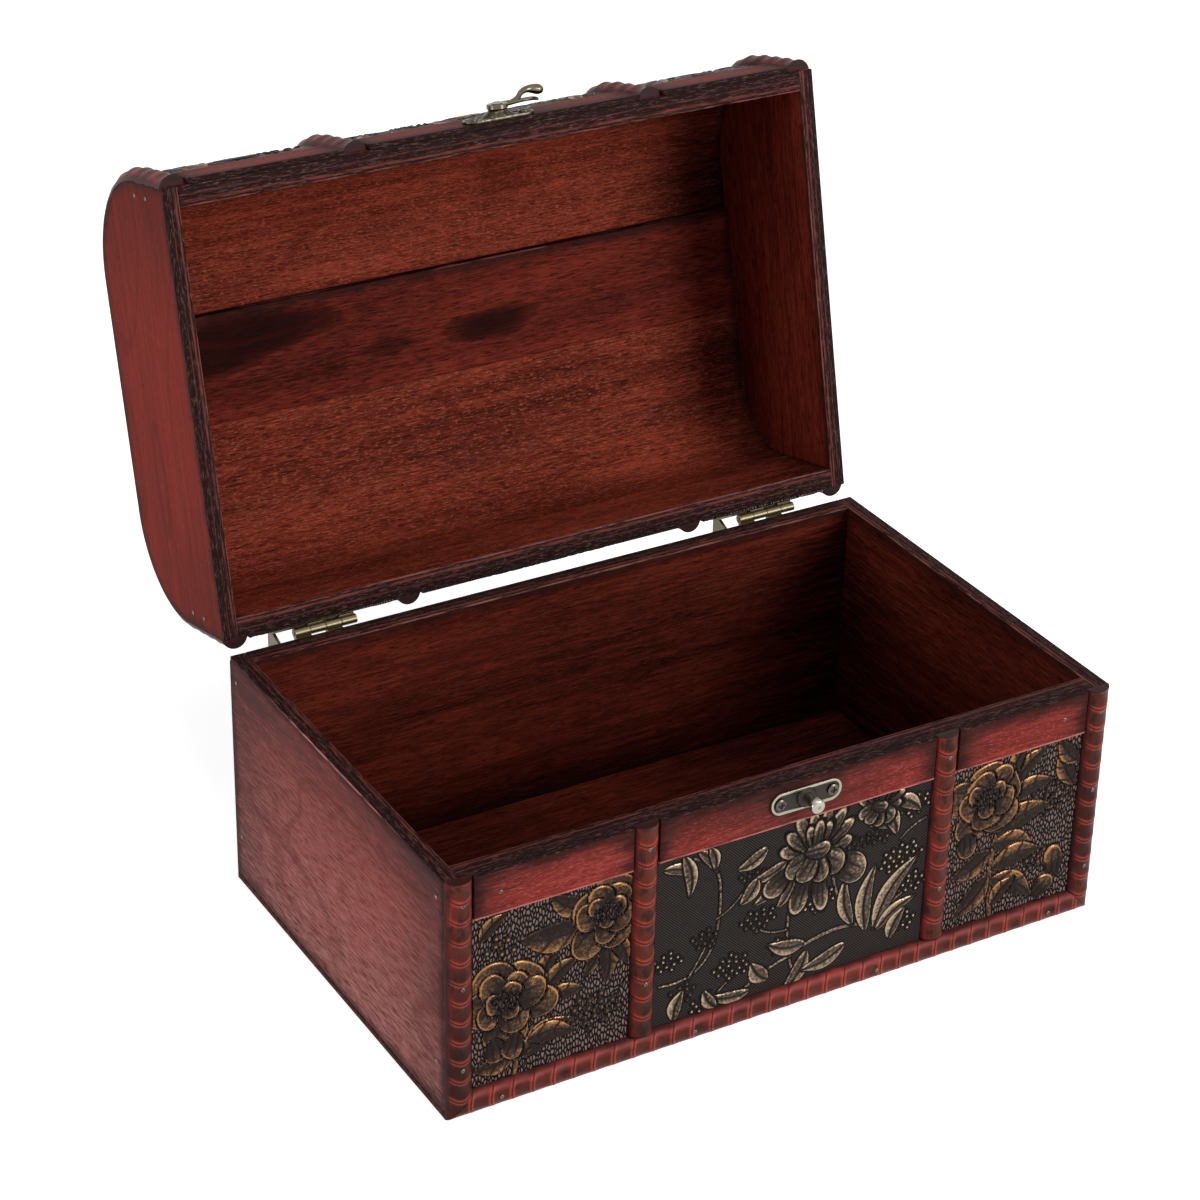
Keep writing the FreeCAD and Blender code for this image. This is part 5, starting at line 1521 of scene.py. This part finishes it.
# %% Oval plates
PLATE_LENGTH, PLATE_WIDTH, PLATE_SEGMENTS = 24.6, 7.4, 48
RIM_WIDTH, RIM_SLOPE, RIM_DEPTH = 0.5, 0.3, 0.3


def oval_plate(centre):
    bm = bmesh.new()
    half_step = Matrix.Rotation(math.pi / PLATE_SEGMENTS, 4, "Z")
    bmesh.ops.create_circle(bm, cap_ends=True, segments=PLATE_SEGMENTS, radius=PLATE_WIDTH / 2, matrix=half_step)
    for vert in bm.verts:
        vert.co.x += math.copysign((PLATE_LENGTH - PLATE_WIDTH) / 2, vert.co.x)
    thicken(bm, (0.0, 0.0, PLATE_THICK))
    ease(bm, 0.22, 60)
    front = max((face for face in bm.faces if face.normal.z > 0.9), key=lambda face: face.calc_area())
    bmesh.ops.inset_region(bm, faces=[front], thickness=RIM_WIDTH)
    bmesh.ops.inset_region(bm, faces=[front], thickness=RIM_SLOPE, depth=-RIM_DEPTH)
    place = Matrix.Translation((centre.x, STRIP_FACE, centre.z)) @ Matrix.Rotation(math.pi / 2, 4, "X")
    bmesh.ops.transform(bm, matrix=place, verts=bm.verts)
    return bm


def turned_on(centre, y, profile, closed=False):
    bm = lathe(profile, FINE_SIDES, closed)
    bmesh.ops.translate(bm, vec=(centre.x, y, centre.z), verts=bm.verts)
    return bm


print("plates:", PLATE_LENGTH, "x", PLATE_WIDTH, "mm")

# %% Latch plates and peg
PLATE_FLOOR, PEG_FOOT = PLATE_FACE + RIM_DEPTH, PLATE_FACE - 1.0
STAPLE_BOSS = [(3.4, 0.0), (3.3, 0.4), (2.9, 0.9), (2.5, 1.25), (0.0, 1.3)]
PEG_PROFILE = [(1.5, 0.0), (1.5, 2.5), (1.75, 2.85), (2.2, 3.15), (2.35, 3.5), (2.35, 4.9), (2.2, 5.3),
               (1.8, 5.55), (0.0, 5.6)]
LID_BOSS = [(3.5, 0.0), (3.45, 0.4), (3.2, 1.2), (2.95, 2.2), (2.8, 2.3), (0.0, 2.3)]
BOSS_FLARE, BOSS_HEIGHT = 0.9, 2.3
bm = oval_plate(PEG)
store_wear(bm)
# The boss under the peg is kept dark, as painted shade beneath the peg.
boss = turned_on(PEG, PLATE_FLOOR, STAPLE_BOSS)
store_wear(boss, 0.0, 0.1)
join(bm, boss)
finish_piece(bm, "latch_staple_oval", antique_bronze, "latch_staple_plate")

bm = turned_on(PEG, PEG_FOOT, PEG_PROFILE)
store_wear(bm, 0.25)
finish_piece(bm, "latch_round_peg", bright_pewter, "latch_peg")

bm = oval_plate(PIVOT)
boss = lathe(LID_BOSS, FINE_SIDES)
for vert in boss.verts:
    vert.co.x *= 1.0 + BOSS_FLARE * (1.0 + vert.co.y / BOSS_HEIGHT) ** 2
join(bm, boss, Matrix.Translation((PIVOT.x, PLATE_FLOOR, PIVOT.z)))
store_wear(bm, 0.0, 0.35)
finish_piece(bm, "latch_lid_oval", golden_bronze, "latch_plate")

# %% [markdown]
# ## Hook
# The hook turns on a rivet: a round hub, a thin arm whose claw comes round the peg, and a swan-neck tail that
# ends in a bulb for the thumb. Arm and tail are smooth curves with a changing radius, made into meshes.

# %% Swept bars
BOSS_TOP = PLATE_FACE - 2.0
ARM_MIDDLE = BOSS_TOP - 0.95


def swept(points, flat=1.0):
    """Round bar along a smooth line; points are (along, up, out, radius) from the pivot, flattened by a share."""
    curve = bpy.data.curves.new("sweep", "CURVE")
    curve.dimensions = "3D"
    curve.bevel_depth = 1.0
    curve.bevel_resolution = 5
    curve.resolution_u = 8
    curve.use_fill_caps = True
    line = curve.splines.new("NURBS")
    line.points.add(len(points) - 1)
    for point, (along, up, out, radius) in zip(line.points, points):
        point.co = (PIVOT.x + along, -out, PIVOT.z + up, 1.0)
        point.radius = radius
    line.order_u = 3
    line.use_endpoint_u = True
    bar = bpy.data.objects.new("sweep", curve)
    bpy.context.scene.collection.objects.link(bar)
    bm = shown_mesh(bar)
    bmesh.ops.remove_doubles(bm, verts=bm.verts, dist=1e-3)
    bmesh.ops.scale(bm, vec=(1.0, flat, 1.0), verts=bm.verts)
    bmesh.ops.translate(bm, vec=(0.0, ARM_MIDDLE, 0.0), verts=bm.verts)
    return bm


print("the arm lies", round(PLATE_FACE - ARM_MIDDLE, 2), "mm in front of its plate")

# %% Hook and rivet
HUB_FOOT, ARM_FLAT = BOSS_TOP - 0.15, 0.8
HUB = [(1.3, 0.0), (3.15, 0.0), (3.4, 0.25), (3.4, 1.3), (3.1, 1.6), (1.3, 1.6)]
RIVET = [(1.2, 0.0), (1.2, 1.85), (1.9, 1.9), (1.85, 2.05), (1.4, 2.25), (0.8, 2.35), (0.0, 2.4)]
ARM = [(2.0, 1.6, 0.0, 1.3), (5.0, 2.1, 0.0, 1.1), (8.5, 2.5, 0.0, 0.85), (11.6, 3.0, 0.0, 0.8),
       (14.2, 2.6, 0.0, 0.8), (14.5, 0.2, 0.0, 0.7), (13.6, -1.8, 0.0, 0.3)]
TAIL = [(6.6, 2.4, 0.1, 0.85), (9.0, 3.2, 0.5, 0.85), (11.0, 4.4, 2.3, 0.9), (13.8, 5.2, 2.85, 1.1),
        (16.2, 5.2, 2.45, 1.6), (18.3, 5.1, 1.95, 1.7), (19.1, 5.0, 1.75, 0.9)]
bm = turned_on(PIVOT, HUB_FOOT, HUB, closed=True)
join(bm, swept(ARM, ARM_FLAT))
join(bm, swept(TAIL))
store_wear(bm, 0.1, 0.8)
finish_piece(bm, "latch_swan_hook", golden_bronze, "latch_hook")

bm = turned_on(PIVOT, BOSS_TOP, RIVET)
store_wear(bm, 0.3)
finish_piece(bm, "latch_rivet_head", bright_pewter, "latch_rivet")

# %% [markdown]
# ## Hinges
# The hinge leaves, knuckles and pins already have their shape in the CAD model, so they stay as they are and
# only take the brass finish.

# %% Hinges
for side in ("left", "right"):
    for part in ("base_leaf", "lid_leaf", "pin"):
        node = frame["nodes"][f"hinge_{side}_{part}"]
        node.data.materials.clear()
        node.data.materials.append(pale_brass)
print("shown CAD nodes:", [name for name, node in frame["nodes"].items() if not node.hide_render])
